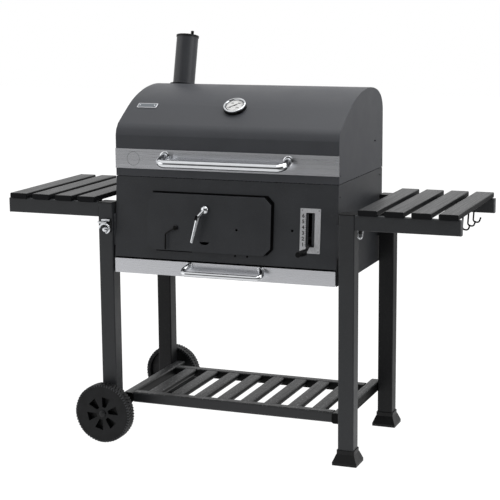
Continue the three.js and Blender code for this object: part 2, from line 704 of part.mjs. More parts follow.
// ---------------------------------------------------------------- ash drawer
/** U-shaped bar handle whose grip droops below its roots; its roots touch Y = 0. */
function handleGeometry(halfGrip, halfRoot, reach, droop, radius, bend) {
  const grip = rod(
    [[-halfRoot, 0, 0], [-halfGrip, -reach, -droop], [halfGrip, -reach, -droop], [halfRoot, 0, 0]],
    radius, bend, 12, 4,
  );
  const roses = [-1, 1].map((s) => bar("y", radius * 1.34, -4, 0, [s * halfRoot, 0], 16));
  const behind = block([-halfGrip - 60, 0, -60], [halfGrip + 60, 60, 60]);
  return cut(join(grip, ...roses), behind);
}

function buildAshDrawer() {
  const group = new THREE.Group();
  const floor = BOX_FLOOR + SHEET + SEAT;
  const half = BOX_HALF - SHEET - 7;
  const front = PANEL_FOOT_Y - 3;
  const outer = block([-half, front, floor], [half, DRAWER_BACK, floor + 38]);
  const inner = block([-half + 1.6, front + 1.6, floor + 1.6], [half - 1.6, DRAWER_BACK - 1.6, floor + 50]);
  place(group, "ash_drawer_tray", cut(outer, inner), FINISH.enamel);

  const centre = BOX_FLOOR + 1 + DRAWER_FRONT_HEIGHT / 2;
  const face = extrude(roundedRect(DRAWER_FRONT_WIDTH, DRAWER_FRONT_HEIGHT, 1.5), "y", -SHEET, 0);
  const lip = DRAWER_FRONT_HEIGHT / 2;
  const folds = [-1, 1].map((s) => {
    const x = [s * (DRAWER_FRONT_WIDTH / 2 - 1.5), s * (DRAWER_FRONT_WIDTH / 2)].sort((a, b) => a - b);
    return block([x[0], -0.5, -lip + 2], [x[1], 1.5, lip - 2]);
  });
  const faceY = front - SEAT - 0.2;
  place(group, "ash_drawer_front", join(face, ...folds), FINISH.stainless, [0, faceY, centre]);
  const handle = handleGeometry(136, 119, 40, 19, 8.4, 16);
  const at = [9, faceY - SHEET - SEAT, centre + 13];
  place(group, "ash_drawer_handle", handle, FINISH.chrome, at);
  return group;
}

// ---------------------------------------------------------------- lid
/** Side outline of the lid in Y, Z: upright front band, long crown, tight rear corner. */
function lidOutline(offset) {
  const foot = BOX_TOP + LID_GAP;
  const depth = LID_REAR - PANEL_HEAD_Y;
  const shares = [
    [0.0416, 165], [0.2262, 218.5], [0.3442, 243.4], [0.4682, 259.6], [0.5714, 267.2], [0.6747, 270],
    [0.7779, 266], [0.8608, 257.3], [0.9126, 247], [0.9582, 232.8], [0.9874, 214.5], [1, 193.3],
  ];
  const crown = shares.map(([share, rise]) => [PANEL_HEAD_Y + share * depth, BOX_TOP + rise]);
  const curve = new THREE.Shape();
  curve.moveTo(PANEL_HEAD_Y, foot);
  curve.lineTo(PANEL_HEAD_Y, BOX_TOP + 129.5);
  curve.quadraticCurveTo(PANEL_HEAD_Y + 1, BOX_TOP + 147, ...crown[0]);
  curve.splineThru(crown.slice(1).map(([y, z]) => new THREE.Vector2(y, z)));
  curve.lineTo(LID_REAR, foot);
  const points = curve.getPoints(2);
  if (offset === 0) return new THREE.Shape(points);
  return new THREE.Shape(insetLine(points, offset));
}

/** Moves an open outline inwards; its two ends slide down so that the cavity stays open below. */
function insetLine(points, offset) {
  const moved = points.map((point, i) => {
    const before = points[Math.max(i - 1, 0)];
    const after = points[Math.min(i + 1, points.length - 1)];
    const along = after.clone().sub(before).normalize();
    return new THREE.Vector2(point.x + along.y * offset, point.y - along.x * offset);
  });
  moved[0].y -= 5;
  moved[moved.length - 1].y -= 5;
  return moved;
}

/** Height and slope of the crown at a given Y. */
function crownAt(y) {
  const points = lidOutline(0).getPoints();
  for (let i = 0; i < points.length - 1; i++) {
    const a = points[i];
    const b = points[i + 1];
    if (a.y > 1000 && a.x <= y && y < b.x) {
      const t = (y - a.x) / (b.x - a.x);
      return { z: a.y + t * (b.y - a.y), slope: Math.atan2(b.y - a.y, b.x - a.x) };
    }
  }
  return { z: points[0].y, slope: 0 };
}

function lidGeometry() {
  const half = LID_HALF;
  const shell = cut(
    extrude(lidOutline(0), "x", -half, half),
    extrude(lidOutline(SHEET), "x", -half + SHEET, half - SHEET),
  );
  const leaves = [];
  const bores = [];
  for (const x of [-HINGE_X, HINGE_X]) {
    leaves.push(block([x - 32, LID_REAR - 1, HINGE_Z + 1.5], [x + 32, LID_REAR + 2, HINGE_Z + 38]));
    for (const side of [-1, 1]) {
      const span = [x + side * 17, x + side * 32].sort((a, b) => a - b);
      leaves.push(bar("x", 5, ...span, [HINGE_Y, HINGE_Z], 12));
      leaves.push(block([span[0], LID_REAR - 0.2, HINGE_Z + 1.5], [span[1], HINGE_Y, HINGE_Z + 4.9]));
      bores.push(bar("x", 3, span[0] - 1, span[1] + 1, [HINGE_Y, HINGE_Z], 8));
    }
  }
  const base = crownAt(CHIMNEY_Y);
  const flue = bar("z", CHIMNEY_RADIUS - 5, -30, 30, [0, 0], 24);
  flue.rotateX(-THREE.MathUtils.degToRad(CHIMNEY_TILT)).translate(CHIMNEY_X, CHIMNEY_Y, base.z);
  const slot = extrude(roundedRect(14, 6, 3, 158, BOX_TOP + 95.7), "x", half - 10, half + 10);
  const seat = crownAt(GAUGE_Y);
  const stemHole = bar("z", STEM_RADIUS + SEAT, -20, 20, [0, 0], 12);
  stemHole.rotateX(seat.slope).translate(GAUGE_X, GAUGE_Y, seat.z);
  return cut(join(shell, ...leaves), ...bores, flue, slot, stemHole);
}

/** Fixed hinge half: leaf on the firebox with the middle knuckle and the pin. */
function hingeGeometry() {
  const leaf = block([-30, 0, -46], [30, SHEET, -1]);
  const knuckle = bar("x", 5, -16, 16, [HINGE_Y - BOX_REAR - SEAT, 0], 12);
  const web = block([-16, 0, -4.9], [16, HINGE_Y - BOX_REAR - SEAT, -1]);
  const pin = bar("x", 2.6, -35, 35, [HINGE_Y - BOX_REAR - SEAT, 0], 8);
  return join(leaf, knuckle, web, pin);
}

/** Chimney: pipe with a flange that follows the lid, and a ported top plate. */
function chimneyGeometry() {
  const pipe = circle(CHIMNEY_RADIUS, 28);
  pipe.holes.push(circle(CHIMNEY_RADIUS - 1.5, 28));
  const flange = circle(CHIMNEY_RADIUS + 10, 28);
  flange.holes.push(circle(CHIMNEY_RADIUS - 1.5, 28));
  const plate = circle(CHIMNEY_RADIUS - 0.5, 28);
  plate.holes.push(...dampPorts(0));
  return join(
    extrude(pipe, "z", 2, CHIMNEY_LENGTH),
    extrude(flange, "z", 0.6, 2.6),
    extrude(plate, "z", CHIMNEY_LENGTH - 2, CHIMNEY_LENGTH),
  );
}

/** Three smoke ports, turned by a share of their spacing. */
function dampPorts(turn) {
  return [0, 1, 2].map((i) => {
    const a = (2 * Math.PI * (i + turn)) / 3;
    const r = CHIMNEY_RADIUS * 0.52;
    return circle(CHIMNEY_RADIUS * 0.27, 12, r * Math.cos(a), r * Math.sin(a));
  });
}

/** Turning damper cap with three ports and a short rim over the pipe. */
function damperGeometry() {
  const disc = circle(CHIMNEY_RADIUS + 1.8, 28);
  disc.holes.push(...dampPorts(0.5));
  const rim = circle(CHIMNEY_RADIUS + 1.8, 28);
  rim.holes.push(circle(CHIMNEY_RADIUS + 0.6, 28));
  return join(extrude(disc, "z", 0, 2), extrude(rim, "z", -4, 0.5));
}

function buildChimney() {
  const group = new THREE.Group();
  const base = crownAt(CHIMNEY_Y);
  group.position.set(CHIMNEY_X, CHIMNEY_Y, base.z);
  group.rotation.x = -THREE.MathUtils.degToRad(CHIMNEY_TILT);
  place(group, "chimney_pipe", chimneyGeometry(), FINISH.body, [0, 0, 0]);
  place(group, "chimney_damper", damperGeometry(), FINISH.body, [0, 0, CHIMNEY_LENGTH + SEAT]);
  const knob = revolve([[0, 0], [3.4, 0], [3.9, 6], [3.9, 14], [2.6, 16], [0, 16]], 14);
  const at = [CHIMNEY_RADIUS * 0.44, 0, CHIMNEY_LENGTH + 2 * SEAT + 2];
  place(group, "damper_knob", knob, FINISH.plastic, at);
  return group;
}

function buildGauge() {
  const group = new THREE.Group();
  const base = crownAt(GAUGE_Y);
  group.position.set(GAUGE_X, GAUGE_Y, base.z);
  group.rotation.x = base.slope;
  const r = GAUGE_RADIUS;
  const bezel = revolve(
    [[0, SEAT], [r - 3, SEAT], [r - 3, 8.5], [r, 9.5], [r, 13], [r - 4, 15.5], [r - 6.5, 10], [0, 10], [0, SEAT]],
    28,
  );
  const stem = bar("z", STEM_RADIUS, -48, SEAT + 1, [0, 0], 12);
  place(group, "thermometer_case", join(bezel, stem), FINISH.chrome);
  const dial = revolve([[2.2, 0], [r - 7.2, 0], [r - 7.2, 1.2], [2.2, 1.2], [2.2, 0]], 24);
  place(group, "thermometer_dial", dial, FINISH.dial, [0, 0, 10 + SEAT]);
  const pointer = polygon([[-1.6, -9], [1.6, -9], [1.2, 0], [0.5, r - 13.6], [-0.5, r - 13.6], [-1.2, 0]]);
  const needle = join(extrude(pointer, "z", 1.9, 2.7), bar("z", 1.8, 0.2, 2.7, [0, 0], 8));
  place(group, "thermometer_needle", needle, FINISH.needle, [0, 0, 10 + SEAT], [0, 0, 2.2]);
  return group;
}

function buildLid() {
  const group = new THREE.Group();
  place(group, "lid_shell", lidGeometry(), FINISH.lid);
  const width = LID_HALF + 0.4;
  const rise = (STRIP_HEAD - STRIP_FOOT) / 2;
  const strip = join(
    extrude(roundedRect(2 * width, 2 * rise, 1), "y", -SHEET, 0),
    block([-width, -SHEET - 1.2, -rise], [width, -SHEET + 0.2, -rise + 3]),
    block([-width, -SHEET - 1.2, rise - 3], [width, -SHEET + 0.2, rise]),
  );
  const middle = (STRIP_HEAD + STRIP_FOOT) / 2;
  place(group, "lid_strip", strip, FINISH.stainless, [0, PANEL_HEAD_Y - SEAT, middle]);
  const handle = handleGeometry(205, 204, 54, 16, 12.3, 24);
  const at = [5.5, PANEL_HEAD_Y - SHEET - 2 * SEAT, middle + 10];
  place(group, "lid_handle", handle, FINISH.chrome, at);
  for (const [side, x] of Object.entries(SIDES)) {
    const hinge = [x * HINGE_X, BOX_REAR + SEAT, HINGE_Z];
    place(group, `lid_hinge_${side}`, hingeGeometry(), FINISH.frame, hinge);
  }
  group.add(buildChimney(), buildGauge());
  return group;
}

// ---------------------------------------------------------------- fittings
/** Bottle opener: back plate, hooded lip and a ring under it. */
function openerGeometry() {
  const plate = extrude(roundedRect(34, 48, 5), "y", -2, 0);
  const hood = extrude(roundedRect(34, 9, 3, 0, 14), "y", -17, -1);
  const ring = bar("y", 15, -13, -1, [0, -6], 20);
  return cut(join(plate, hood, ring), bar("y", 9.5, -20, -3, [0, -6], 16));
}

function buildFittings() {
  const group = new THREE.Group();
  const face = -LEG_SPAN_Y / 2 - SEAT;
  place(group, "bottle_opener", openerGeometry(), FINISH.chrome, [4 - LEG_X, face, 694]);
  const loop = rod([[-8, 0, 0], [-8, 0, -22], [8, 0, -22], [8, 0, 0]], 2.4, 7.5, 8, 4);
  const under = TABLE_TOP - TABLE_SLAT_THICK - APRON_HEIGHT - 2 * SEAT;
  const at = [LEG_SPAN_X / 2 + 16, -APRON_SPAN_Y / 2 + APRON_THICK / 2, under];
  place(group, "utility_loop", loop, FINISH.chrome, at);
  return group;
}

// ---------------------------------------------------------------- assembly
const trolley = new THREE.Group();
trolley.name = "barbecue_trolley";
const content = new THREE.Group();
content.add(
  buildUndercarriage(),
  buildShelf(),
  buildTable("left"),
  buildTable("right"),
  buildHooks(),
  buildFirebox(),
  buildGrates(),
  buildAshDrawer(),
  buildLid(),
  buildFittings(),
);
trolley.add(content);

// The origin is on the floor under the middle of the whole assembly.
const bounds = new THREE.Box3().setFromObject(content);
content.position.set(-(bounds.min.x + bounds.max.x) / 2, -(bounds.min.y + bounds.max.y) / 2, 0);

export default trolley;
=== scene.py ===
"""Looks of a wheeled charcoal barbecue trolley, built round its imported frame.

Lengths are metres, and names that end in mm hold millimetres. The frame's origin lies on the floor under the
middle of the trolley, +X runs to the right, +Y to the back and +Z up.
"""

import json
import logging
import math
from dataclasses import dataclass, field
from enum import Enum
from typing import Callable, Optional, Sequence

import bmesh
import bpy
from mathutils import Matrix, Vector

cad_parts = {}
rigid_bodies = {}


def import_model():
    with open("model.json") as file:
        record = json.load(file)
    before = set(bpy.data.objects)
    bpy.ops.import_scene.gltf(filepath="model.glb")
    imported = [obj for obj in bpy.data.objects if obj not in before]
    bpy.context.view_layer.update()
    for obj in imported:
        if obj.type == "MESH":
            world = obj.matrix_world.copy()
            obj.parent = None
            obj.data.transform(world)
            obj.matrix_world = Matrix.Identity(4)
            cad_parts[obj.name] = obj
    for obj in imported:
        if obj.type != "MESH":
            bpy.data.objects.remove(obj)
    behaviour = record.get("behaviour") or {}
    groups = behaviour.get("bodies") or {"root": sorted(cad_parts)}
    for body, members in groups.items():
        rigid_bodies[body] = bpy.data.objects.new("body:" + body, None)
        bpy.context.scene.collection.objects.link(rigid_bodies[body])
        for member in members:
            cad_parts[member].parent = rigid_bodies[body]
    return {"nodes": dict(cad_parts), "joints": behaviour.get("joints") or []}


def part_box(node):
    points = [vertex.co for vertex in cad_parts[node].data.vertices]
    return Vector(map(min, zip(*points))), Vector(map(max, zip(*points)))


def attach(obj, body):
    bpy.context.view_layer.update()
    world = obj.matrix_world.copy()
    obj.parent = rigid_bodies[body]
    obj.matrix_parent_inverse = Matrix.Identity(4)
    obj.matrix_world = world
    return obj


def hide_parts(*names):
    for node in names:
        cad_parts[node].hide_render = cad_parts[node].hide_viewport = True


log = logging.getLogger("trolley")
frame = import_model()
NODES = frame["nodes"]
MM = 0.001
IN_MM = Matrix.Scale(MM, 4)  # takes a shape drawn in millimetres to metres
TO_FRONT = Matrix.Rotation(math.pi / 2, 4, "X")  # turns a shape's local Z to the front
SPAN = ("Value", "From Min", "From Max", "To Min", "To Max")  # inputs that map one range onto another
Item = bpy.types.Object
Mesh = bpy.types.Mesh
Edge = bmesh.types.BMEdge
Tree = bpy.types.NodeTree
Socket = bpy.types.NodeSocket


class Side(Enum):
    """The two ends of the trolley as a cook in front of it sees them."""

    LEFT = "left"
    RIGHT = "right"


class End(Enum):
    """The two long sides of the trolley."""

    FRONT = "front"
    REAR = "rear"


# ---------------------------------------------------------------- node and colour helpers
def linear(code: str) -> tuple[float, float, float, float]:
    """Turn an sRGB hex code into a linear colour.

    Args:
        code: six hex digits.

    Returns:
        Red, green, blue and an alpha of 1.
    """
    parts = [int(code[i : i + 2], 16) / 255 for i in (0, 2, 4)]
    r, g, b = (p / 12.92 if p <= 0.04045 else ((p + 0.055) / 1.055) ** 2.4 for p in parts)
    return (r, g, b, 1.0)


def add(tree: Tree, kind: str, inputs: Optional[dict] = None, **settings: object) -> bpy.types.Node:
    """Add one node with its settings, values and links.

    Args:
        tree: the tree that gets the node.
        kind: the node's type name.
        inputs: socket name or number to a value, or to the socket that feeds it.
        settings: properties set on the node first.

    Returns:
        The new node.
    """
    node = tree.nodes.new(kind)
    for name, value in settings.items():
        setattr(node, name, value)
    for key, value in (inputs or {}).items():
        if isinstance(value, Socket):
            tree.links.new(value, node.inputs[key])
        else:
            node.inputs[key].default_value = value
    return node


# ---------------------------------------------------------------- finishes
@dataclass(frozen=True)
class Finish:
    """A surface: what it is made of and how it was finished."""

    name: str

    def material(self) -> bpy.types.Material:
        """Find the finish's material, or make it the first time.

        Returns:
            The material.
        """
        found = bpy.data.materials.get(self.name)
        if found:
            return found
        made = bpy.data.materials.new(self.name)
        made.use_nodes = True
        tree = made.node_tree
        tree.nodes.clear()
        shader = add(tree, "ShaderNodeBsdfPrincipled", self.shade(tree))
        add(tree, "ShaderNodeOutputMaterial", {"Surface": shader.outputs[0]})
        return made

    def shade(self, tree: Tree) -> dict[str, object]:
        """Return what goes into the Principled shader."""
        raise NotImplementedError

    def grain(self, tree: Tree, size_mm: Sequence[float], detail: float = 3.0, rough: float = 0.55) -> Socket:
        """Add noise with a grain of a real size along each axis.

        Args:
            tree: the material's tree.
            size_mm: grain size along X, Y and Z in millimetres.
            detail: octaves of finer noise.
            rough: strength of the finer octaves.

        Returns:
            A value about 0.5.
        """
        place = add(tree, "ShaderNodeTexCoord").outputs["Object"]
        inputs = {"Vector": place, "Scale": [1000 / s for s in size_mm]}
        scaled = add(tree, "ShaderNodeMapping", inputs, vector_type="POINT").outputs[0]
        inputs = {"Vector": scaled, "Scale": 1.0, "Detail": detail, "Roughness": rough}
        return add(tree, "ShaderNodeTexNoise", inputs).outputs["Fac"]

    def spread(
        self, tree: Tree, value: Socket, low: float, high: float, lo: float = 0.3, hi: float = 0.7
    ) -> Socket:
        """Stretch a value from lo..hi to low..high."""
        return add(tree, "ShaderNodeMapRange", dict(zip(SPAN, (value, lo, hi, low, high)))).outputs[0]

    def laid(self, tree: Tree, share: Socket, under: Socket | str, code: str) -> Socket:
        """Lay a hex colour over another colour, by a share from 0 to 1."""
        base = linear(under) if isinstance(under, str) else under
        return add(tree, "ShaderNodeMix", {0: share, 6: base, 7: linear(code)}, data_type="RGBA").outputs[2]

    def relief(self, tree: Tree, height: Socket, strength: float, depth_mm: float) -> Socket:
        """Bump the surface by a height from 0 to 1 that stands for a depth in millimetres."""
        inputs = {"Height": height, "Strength": strength, "Distance": depth_mm * MM}
        return add(tree, "ShaderNodeBump", inputs).outputs[0]


@dataclass(frozen=True)
class PowderCoat(Finish):
    """Polyester powder coat baked on steel: orange peel softens highlights, with faint dusty mottling."""

    tone: str = "3c3d3f"
    worn: str = "454648"
    gloss: float = 0.42
    peel_mm: float = 2.4  # real peel is about 1 mm, drawn coarser so that it shows
    peel: float = 0.12
    specular: float = 0.5
    cloud_mm: float = 95.0
    speck_mm: float = 3.2
    dust: str = "5c5d61"

    def shade(self, tree: Tree) -> dict[str, object]:
        """Work out mottled colour, uneven gloss and orange peel.

        Args:
            tree: the material's tree.

        Returns:
            What goes into the shader.
        """
        cloud = self.grain(tree, [self.cloud_mm] * 3, 4.0)
        tone = self.laid(tree, self.spread(tree, cloud, 0.0, 1.0), self.tone, self.worn)
        speck = self.spread(tree, self.grain(tree, [self.speck_mm] * 3, 1.0), 0.0, 0.15, 0.6, 0.75)
        return {
            "Base Color": self.laid(tree, speck, tone, self.dust),
            "Roughness": self.spread(tree, cloud, self.gloss - 0.05, self.gloss + 0.06),
            "Specular IOR Level": self.specular,
            "Normal": self.relief(tree, self.grain(tree, [self.peel_mm] * 3, 2.0), self.peel, 0.25),
        }


@dataclass(frozen=True)
class StainedSlat(Finish):
    """Planed softwood under grey stain: long streaks, pale specks in pores, and painted shade on sides and
    ends that leaves the tops lighter.
    """

    tone: str = "47484a"
    dark: str = "37383a"
    # painted shade: faces that don't look up get this dark colour, so sides and ends darken
    side: str = "18191b"
    speckle: str = "8b8b8a"
    gloss: float = 0.46
    speck_mm: tuple[float, float, float] = (4.0, 9.0, 4.0)
    speck_share: float = 0.5
    # painted shade: the lower specular level of faces that don't look up
    shaded_side_shine: float = 0.12
    streak_mm: tuple[float, float, float] = (3.2, 190.0, 3.2)

    def shade(self, tree: Tree) -> dict[str, object]:
        """Work out grain streaks, specks, painted shade on the sides and a fine ridge along the grain.

        Args:
            tree: the material's tree.

        Returns:
            What goes into the shader.
        """
        streak = self.grain(tree, self.streak_mm, 4.0)
        tone = self.laid(tree, self.spread(tree, streak, 0.0, 1.0, 0.35, 0.65), self.dark, self.tone)
        speck = self.spread(tree, self.grain(tree, self.speck_mm, 2.0), 0.0, self.speck_share, 0.56, 0.76)
        # painted shade: faces turned away from up take the dark side colour and less specular
        normal = add(tree, "ShaderNodeTexCoord").outputs["Normal"]
        height = add(tree, "ShaderNodeSeparateXYZ", {0: normal}).outputs[2]
        upward = self.spread(tree, height, 0.0, 1.0, 0.35, 0.8)
        shaded_side_share = add(tree, "ShaderNodeMath", {0: 1.0, 1: upward}, operation="SUBTRACT").outputs[0]
        return {
            "Base Color": self.laid(tree, shaded_side_share, self.laid(tree, speck, tone, self.speckle), self.side),
            "Specular IOR Level": self.spread(tree, shaded_side_share, 0.5, self.shaded_side_shine, 0.0, 1.0),
            "Roughness": self.spread(tree, streak, self.gloss + 0.08, self.gloss - 0.06),
            "Normal": self.relief(tree, streak, 0.3, 0.5),
        }


@dataclass(frozen=True)
class BrushedSteel(Finish):
    """Stainless sheet brushed lengthwise: long fine lines that draw reflections out sideways."""

    tone: str = "d3d4d8"
    dark: str = "c6c7cb"
    gloss: float = 0.28
    grain_mm: tuple[float, float, float] = (420.0, 1.1, 1.1)  # real lines are 0.2 mm, drawn coarser to show
    metal: float = 1.0

    def shade(self, tree: Tree) -> dict[str, object]:
        """Work out brush lines in colour, gloss and relief.

        Args:
            tree: the material's tree.

        Returns:
            What goes into the shader.
        """
        lines = self.grain(tree, self.grain_mm, 3.0, 0.6)
        return {
            "Base Color": self.laid(tree, self.spread(tree, lines, 0.0, 1.0), self.dark, self.tone),
            "Roughness": self.spread(tree, lines, self.gloss - 0.05, self.gloss + 0.08),
            "Metallic": self.metal,
            "Normal": self.relief(tree, lines, 0.12, 0.12),
        }


@dataclass(frozen=True)
class ChromePlate(Finish):
    """Bright chrome plate on tube: mirror smooth, with a little haze from handling."""

    tone: str = "dfe1e4"
    hazed: str = "cfd1d4"
    haze_mm: float = 28.0

    def shade(self, tree: Tree) -> dict[str, object]:
        """Work out a bright metal with a faint haze.

        Args:
            tree: the material's tree.

        Returns:
            What goes into the shader.
        """
        haze = self.grain(tree, [self.haze_mm] * 3, 3.0)
        return {
            "Base Color": self.laid(tree, haze, self.hazed, self.tone),
            "Roughness": self.spread(tree, haze, 0.07, 0.16),
            "Metallic": 1.0,
        }


@dataclass(frozen=True)
class MouldedPlastic(Finish):
    """Moulded polypropylene: near black, a satin skin with fine spark-eroded grain and paler scuffs."""

    tone: str = "1c1d1e"
    scuffed: str = "2b2c2e"
    gloss: float = 0.45
    specular: float = 0.32
    grain_mm: float = 2.2  # real texture is 0.3 mm, drawn coarser so that it shows
    scuff_mm: float = 35.0

    def shade(self, tree: Tree) -> dict[str, object]:
        """Work out scuffed colour, uneven gloss and mould grain.

        Args:
            tree: the material's tree.

        Returns:
            What goes into the shader.
        """
        scuff = self.grain(tree, [self.scuff_mm] * 3, 5.0)
        share = self.spread(tree, scuff, 0.0, 1.0, 0.42, 0.68)
        return {
            "Base Color": self.laid(tree, share, self.tone, self.scuffed),
            "Roughness": self.spread(tree, scuff, self.gloss + 0.08, self.gloss - 0.06),
            "Specular IOR Level": self.specular,
            "Normal": self.relief(tree, self.grain(tree, [self.grain_mm] * 3, 1.0), 0.2, 0.2),
        }


@dataclass(frozen=True)
class VitreousEnamel(Finish):
    """Vitreous enamel fired on steel: glassy black with slight waves and ash-grey dusting."""

    tone: str = "1f2022"
    ash: str = "5a5a58"
    dust_mm: float = 22.0
    wave_mm: float = 9.0

    def shade(self, tree: Tree) -> dict[str, object]:
        """Work out a glassy coat with dust.

        Args:
            tree: the material's tree.

        Returns:
            What goes into the shader.
        """
        dust = self.grain(tree, [self.dust_mm] * 3, 6.0)
        return {
            "Base Color": self.laid(tree, self.spread(tree, dust, 0.0, 0.6, 0.5, 0.75), self.tone, self.ash),
            "Roughness": self.spread(tree, dust, 0.22, 0.6, 0.45, 0.75),
            "Normal": self.relief(tree, self.grain(tree, [self.wave_mm] * 3, 1.0), 0.15, 0.3),
        }


@dataclass(frozen=True)
class PrintedInk(Finish):
    """Screen-printed ink or a lacquered face: even, matt, with the faintest unevenness of the print."""

    tone: str = "111213"
    gloss: float = 0.6
    uneven_mm: float = 5.0

    def shade(self, tree: Tree) -> dict[str, object]:
        """Work out a nearly even matt colour.

        Args:
            tree: the material's tree.

        Returns:
            What goes into the shader.
        """
        ink = linear(self.tone)[:3]
        thin, full = ([min(part * share, 1.0) for part in ink] + [1.0] for share in (0.92, 1.08))
        uneven = self.grain(tree, [self.uneven_mm] * 3, 2.0)
        tone = add(tree, "ShaderNodeMix", {0: uneven, 6: thin, 7: full}, data_type="RGBA").outputs[2]
        return {"Base Color": tone, "Roughness": self.gloss}


FRAME_PAINT = PowderCoat("powder_coated_steel_tube", "282a2d", "303235", 0.46)
# a darker copy of the frame paint, painted shade for the rear legs; the left table's batten and the chimney
# damper use it too
SHADED_FRAME_PAINT = PowderCoat("powder_coat_painted_shade", "101113", "151618", 0.5, specular=0.3)
BODY_PAINT = PowderCoat("heatproof_black_powder_coat", "2b2d31", "333539", 0.44, 2.6, 0.1)
LID_PAINT = PowderCoat("satin_grey_powder_coat", "3c3e43", "43454a", 0.5, 2.6, 0.1)
PIPE_PAINT = PowderCoat("heatproof_coat_on_pipe", "323438", "3a3c40", 0.42, 2.6, 0.1)
# table slats: the default dark side colour is painted shade on their sides and ends
SLAT_STAIN = StainedSlat("grey_stained_table_slat", "313234", "232425")
# shelf slats and tubes: a near-black side colour, painted shade in the gaps and on the undersides
SHELF_COAT = StainedSlat(
    "textured_coat_on_shelf_slat", "2c2d2f", "1c1d1e", "070809", "9b9c9f", 0.48, (6.0, 7.0, 6.0), 0.7
)
# front rail: a lit copy of the shelf coat, lighter sides and more specular, painted light on its front face
RAIL_COAT = StainedSlat(
    "textured_coat_on_front_rail", "2c2d2f", "1c1d1e", "2a2b2e", "9b9c9f", 0.46, (6.0, 7.0, 6.0), 0.7, 0.5
)
STAINLESS = BrushedSteel("brushed_stainless_sheet")
SCALE_STEEL = BrushedSteel("lacquered_stainless_scale", "dadbde", "c6c7ca", 0.42, (3.0, 3.0, 9.0), 0.55)
BADGE_STEEL = BrushedSteel("anodised_badge_plate", "7d8287", "6f7479", 0.42, (9.0, 3.0, 3.0), 0.8)
ZINC = BrushedSteel("zinc_plated_screw", "a2a4a6", "7d7f82", 0.34, (5.0, 5.0, 5.0))
CHROME = ChromePlate("bright_chrome_plate")
PLASTIC = MouldedPlastic("moulded_black_polypropylene", "0c0d0e", "151617", 0.45, 0.28)
# a paler grey than the black plastic, partly painted light falling from the right on the apron end faces
PALE_PLUG_PLASTIC = MouldedPlastic("end_plug_partly_painted_light", "4c4d50", "6b6c6e", 0.55, 0.5, 4.0)
WHEEL_PLASTIC = MouldedPlastic("moulded_wheel_polyethylene", "0b0c0e", "141518", 0.5, 0.3)
LUG_RUBBER = MouldedPlastic("moulded_tread_lug", "46474a", "545558", 0.6, 0.35)
WIRE_COAT = MouldedPlastic("dipped_black_wire_coat", "030304", "070708", 0.36, 0.2)
# near black: painted shadow in the strips round the door and on its right wall, and the own colour of the
# latch collar and the door's foot screws
NEAR_BLACK_AND_SHADE = MouldedPlastic("near_black_and_painted_shade", "020203", "070708", 0.8, 0.1)
BLACK_SCREW = MouldedPlastic("blackened_screw", "17181a", "242527", 0.35)
ENAMEL = VitreousEnamel("fired_black_enamel")
DIAL_FACE = PrintedInk("white_lacquered_dial", "fafaf8", 0.4)
BLACK_INK = PrintedInk("black_screen_print", "0b0b0c")
NEEDLE_LACQUER = PrintedInk("black_lacquered_pointer", "26272a", 0.35)


# ---------------------------------------------------------------- mesh helpers
def as_object(data: bpy.types.ID, name: str) -> Item:
    """Put a mesh, curve, lamp or camera into the scene as an object at the origin.

    Args:
        data: what the object shows.
        name: object name.

    Returns:
        The new object.
    """
    piece = bpy.data.objects.new(name, data)
    bpy.context.scene.collection.objects.link(piece)
    return piece


def real_mesh(item: Item) -> Mesh:
    """Work out an object's modifiers or its letter outline as a plain mesh.

    Args:
        item: the object.

    Returns:
        The new mesh.
    """
    view = bpy.context.evaluated_depsgraph_get()
    view.update()
    return bpy.data.meshes.new_from_object(item.evaluated_get(view))


def baked(piece: Item) -> Item:
    """Apply a piece's modifiers to its mesh.

    Args:
        piece: the object.

    Returns:
        The same piece.
    """
    mesh = real_mesh(piece)
    piece.modifiers.clear()
    piece.data = mesh
    return piece


def smoothed(piece: Item, sharp: float = 38.0) -> Item:
    """Shade a piece smooth but for its sharp edges, with normals weighted by face size.

    Args:
        piece: the object to shade.
        sharp: edges folded more than this many degrees stay sharp.

    Returns:
        The same piece.
    """
    for polygon in piece.data.polygons:
        polygon.use_smooth = True
    piece.data.set_sharp_from_angle(angle=math.radians(sharp))
    weighted = piece.modifiers.new("weighted", "WEIGHTED_NORMAL")
    weighted.keep_sharp = True
    weighted.weight = 90
    return baked(piece)


def written(bm: bmesh.types.BMesh, name: str) -> Mesh:
    """Write mesh code's result to a mesh and free it.

    Args:
        bm: the mesh under work.
        name: the mesh's name.

    Returns:
        The new mesh.
    """
    mesh = bpy.data.meshes.new(name)
    bm.to_mesh(mesh)
    bm.free()
    return mesh


def from_bmesh(
    bm: bmesh.types.BMesh, name: str, matrix: Optional[Matrix] = None, sharp: float = 38.0
) -> Item:
    """Turn mesh code's result into a shaded object with its place in the mesh.

    Args:
        bm: the mesh under work; it is freed.
        name: object name.
        matrix: where the mesh goes.
        sharp: angle in degrees above which edges stay sharp.

    Returns:
        The new object.
    """
    if matrix is not None:
        bm.transform(matrix)
    bmesh.ops.recalc_face_normals(bm, faces=bm.faces)
    return smoothed(as_object(written(bm, name), name), sharp)


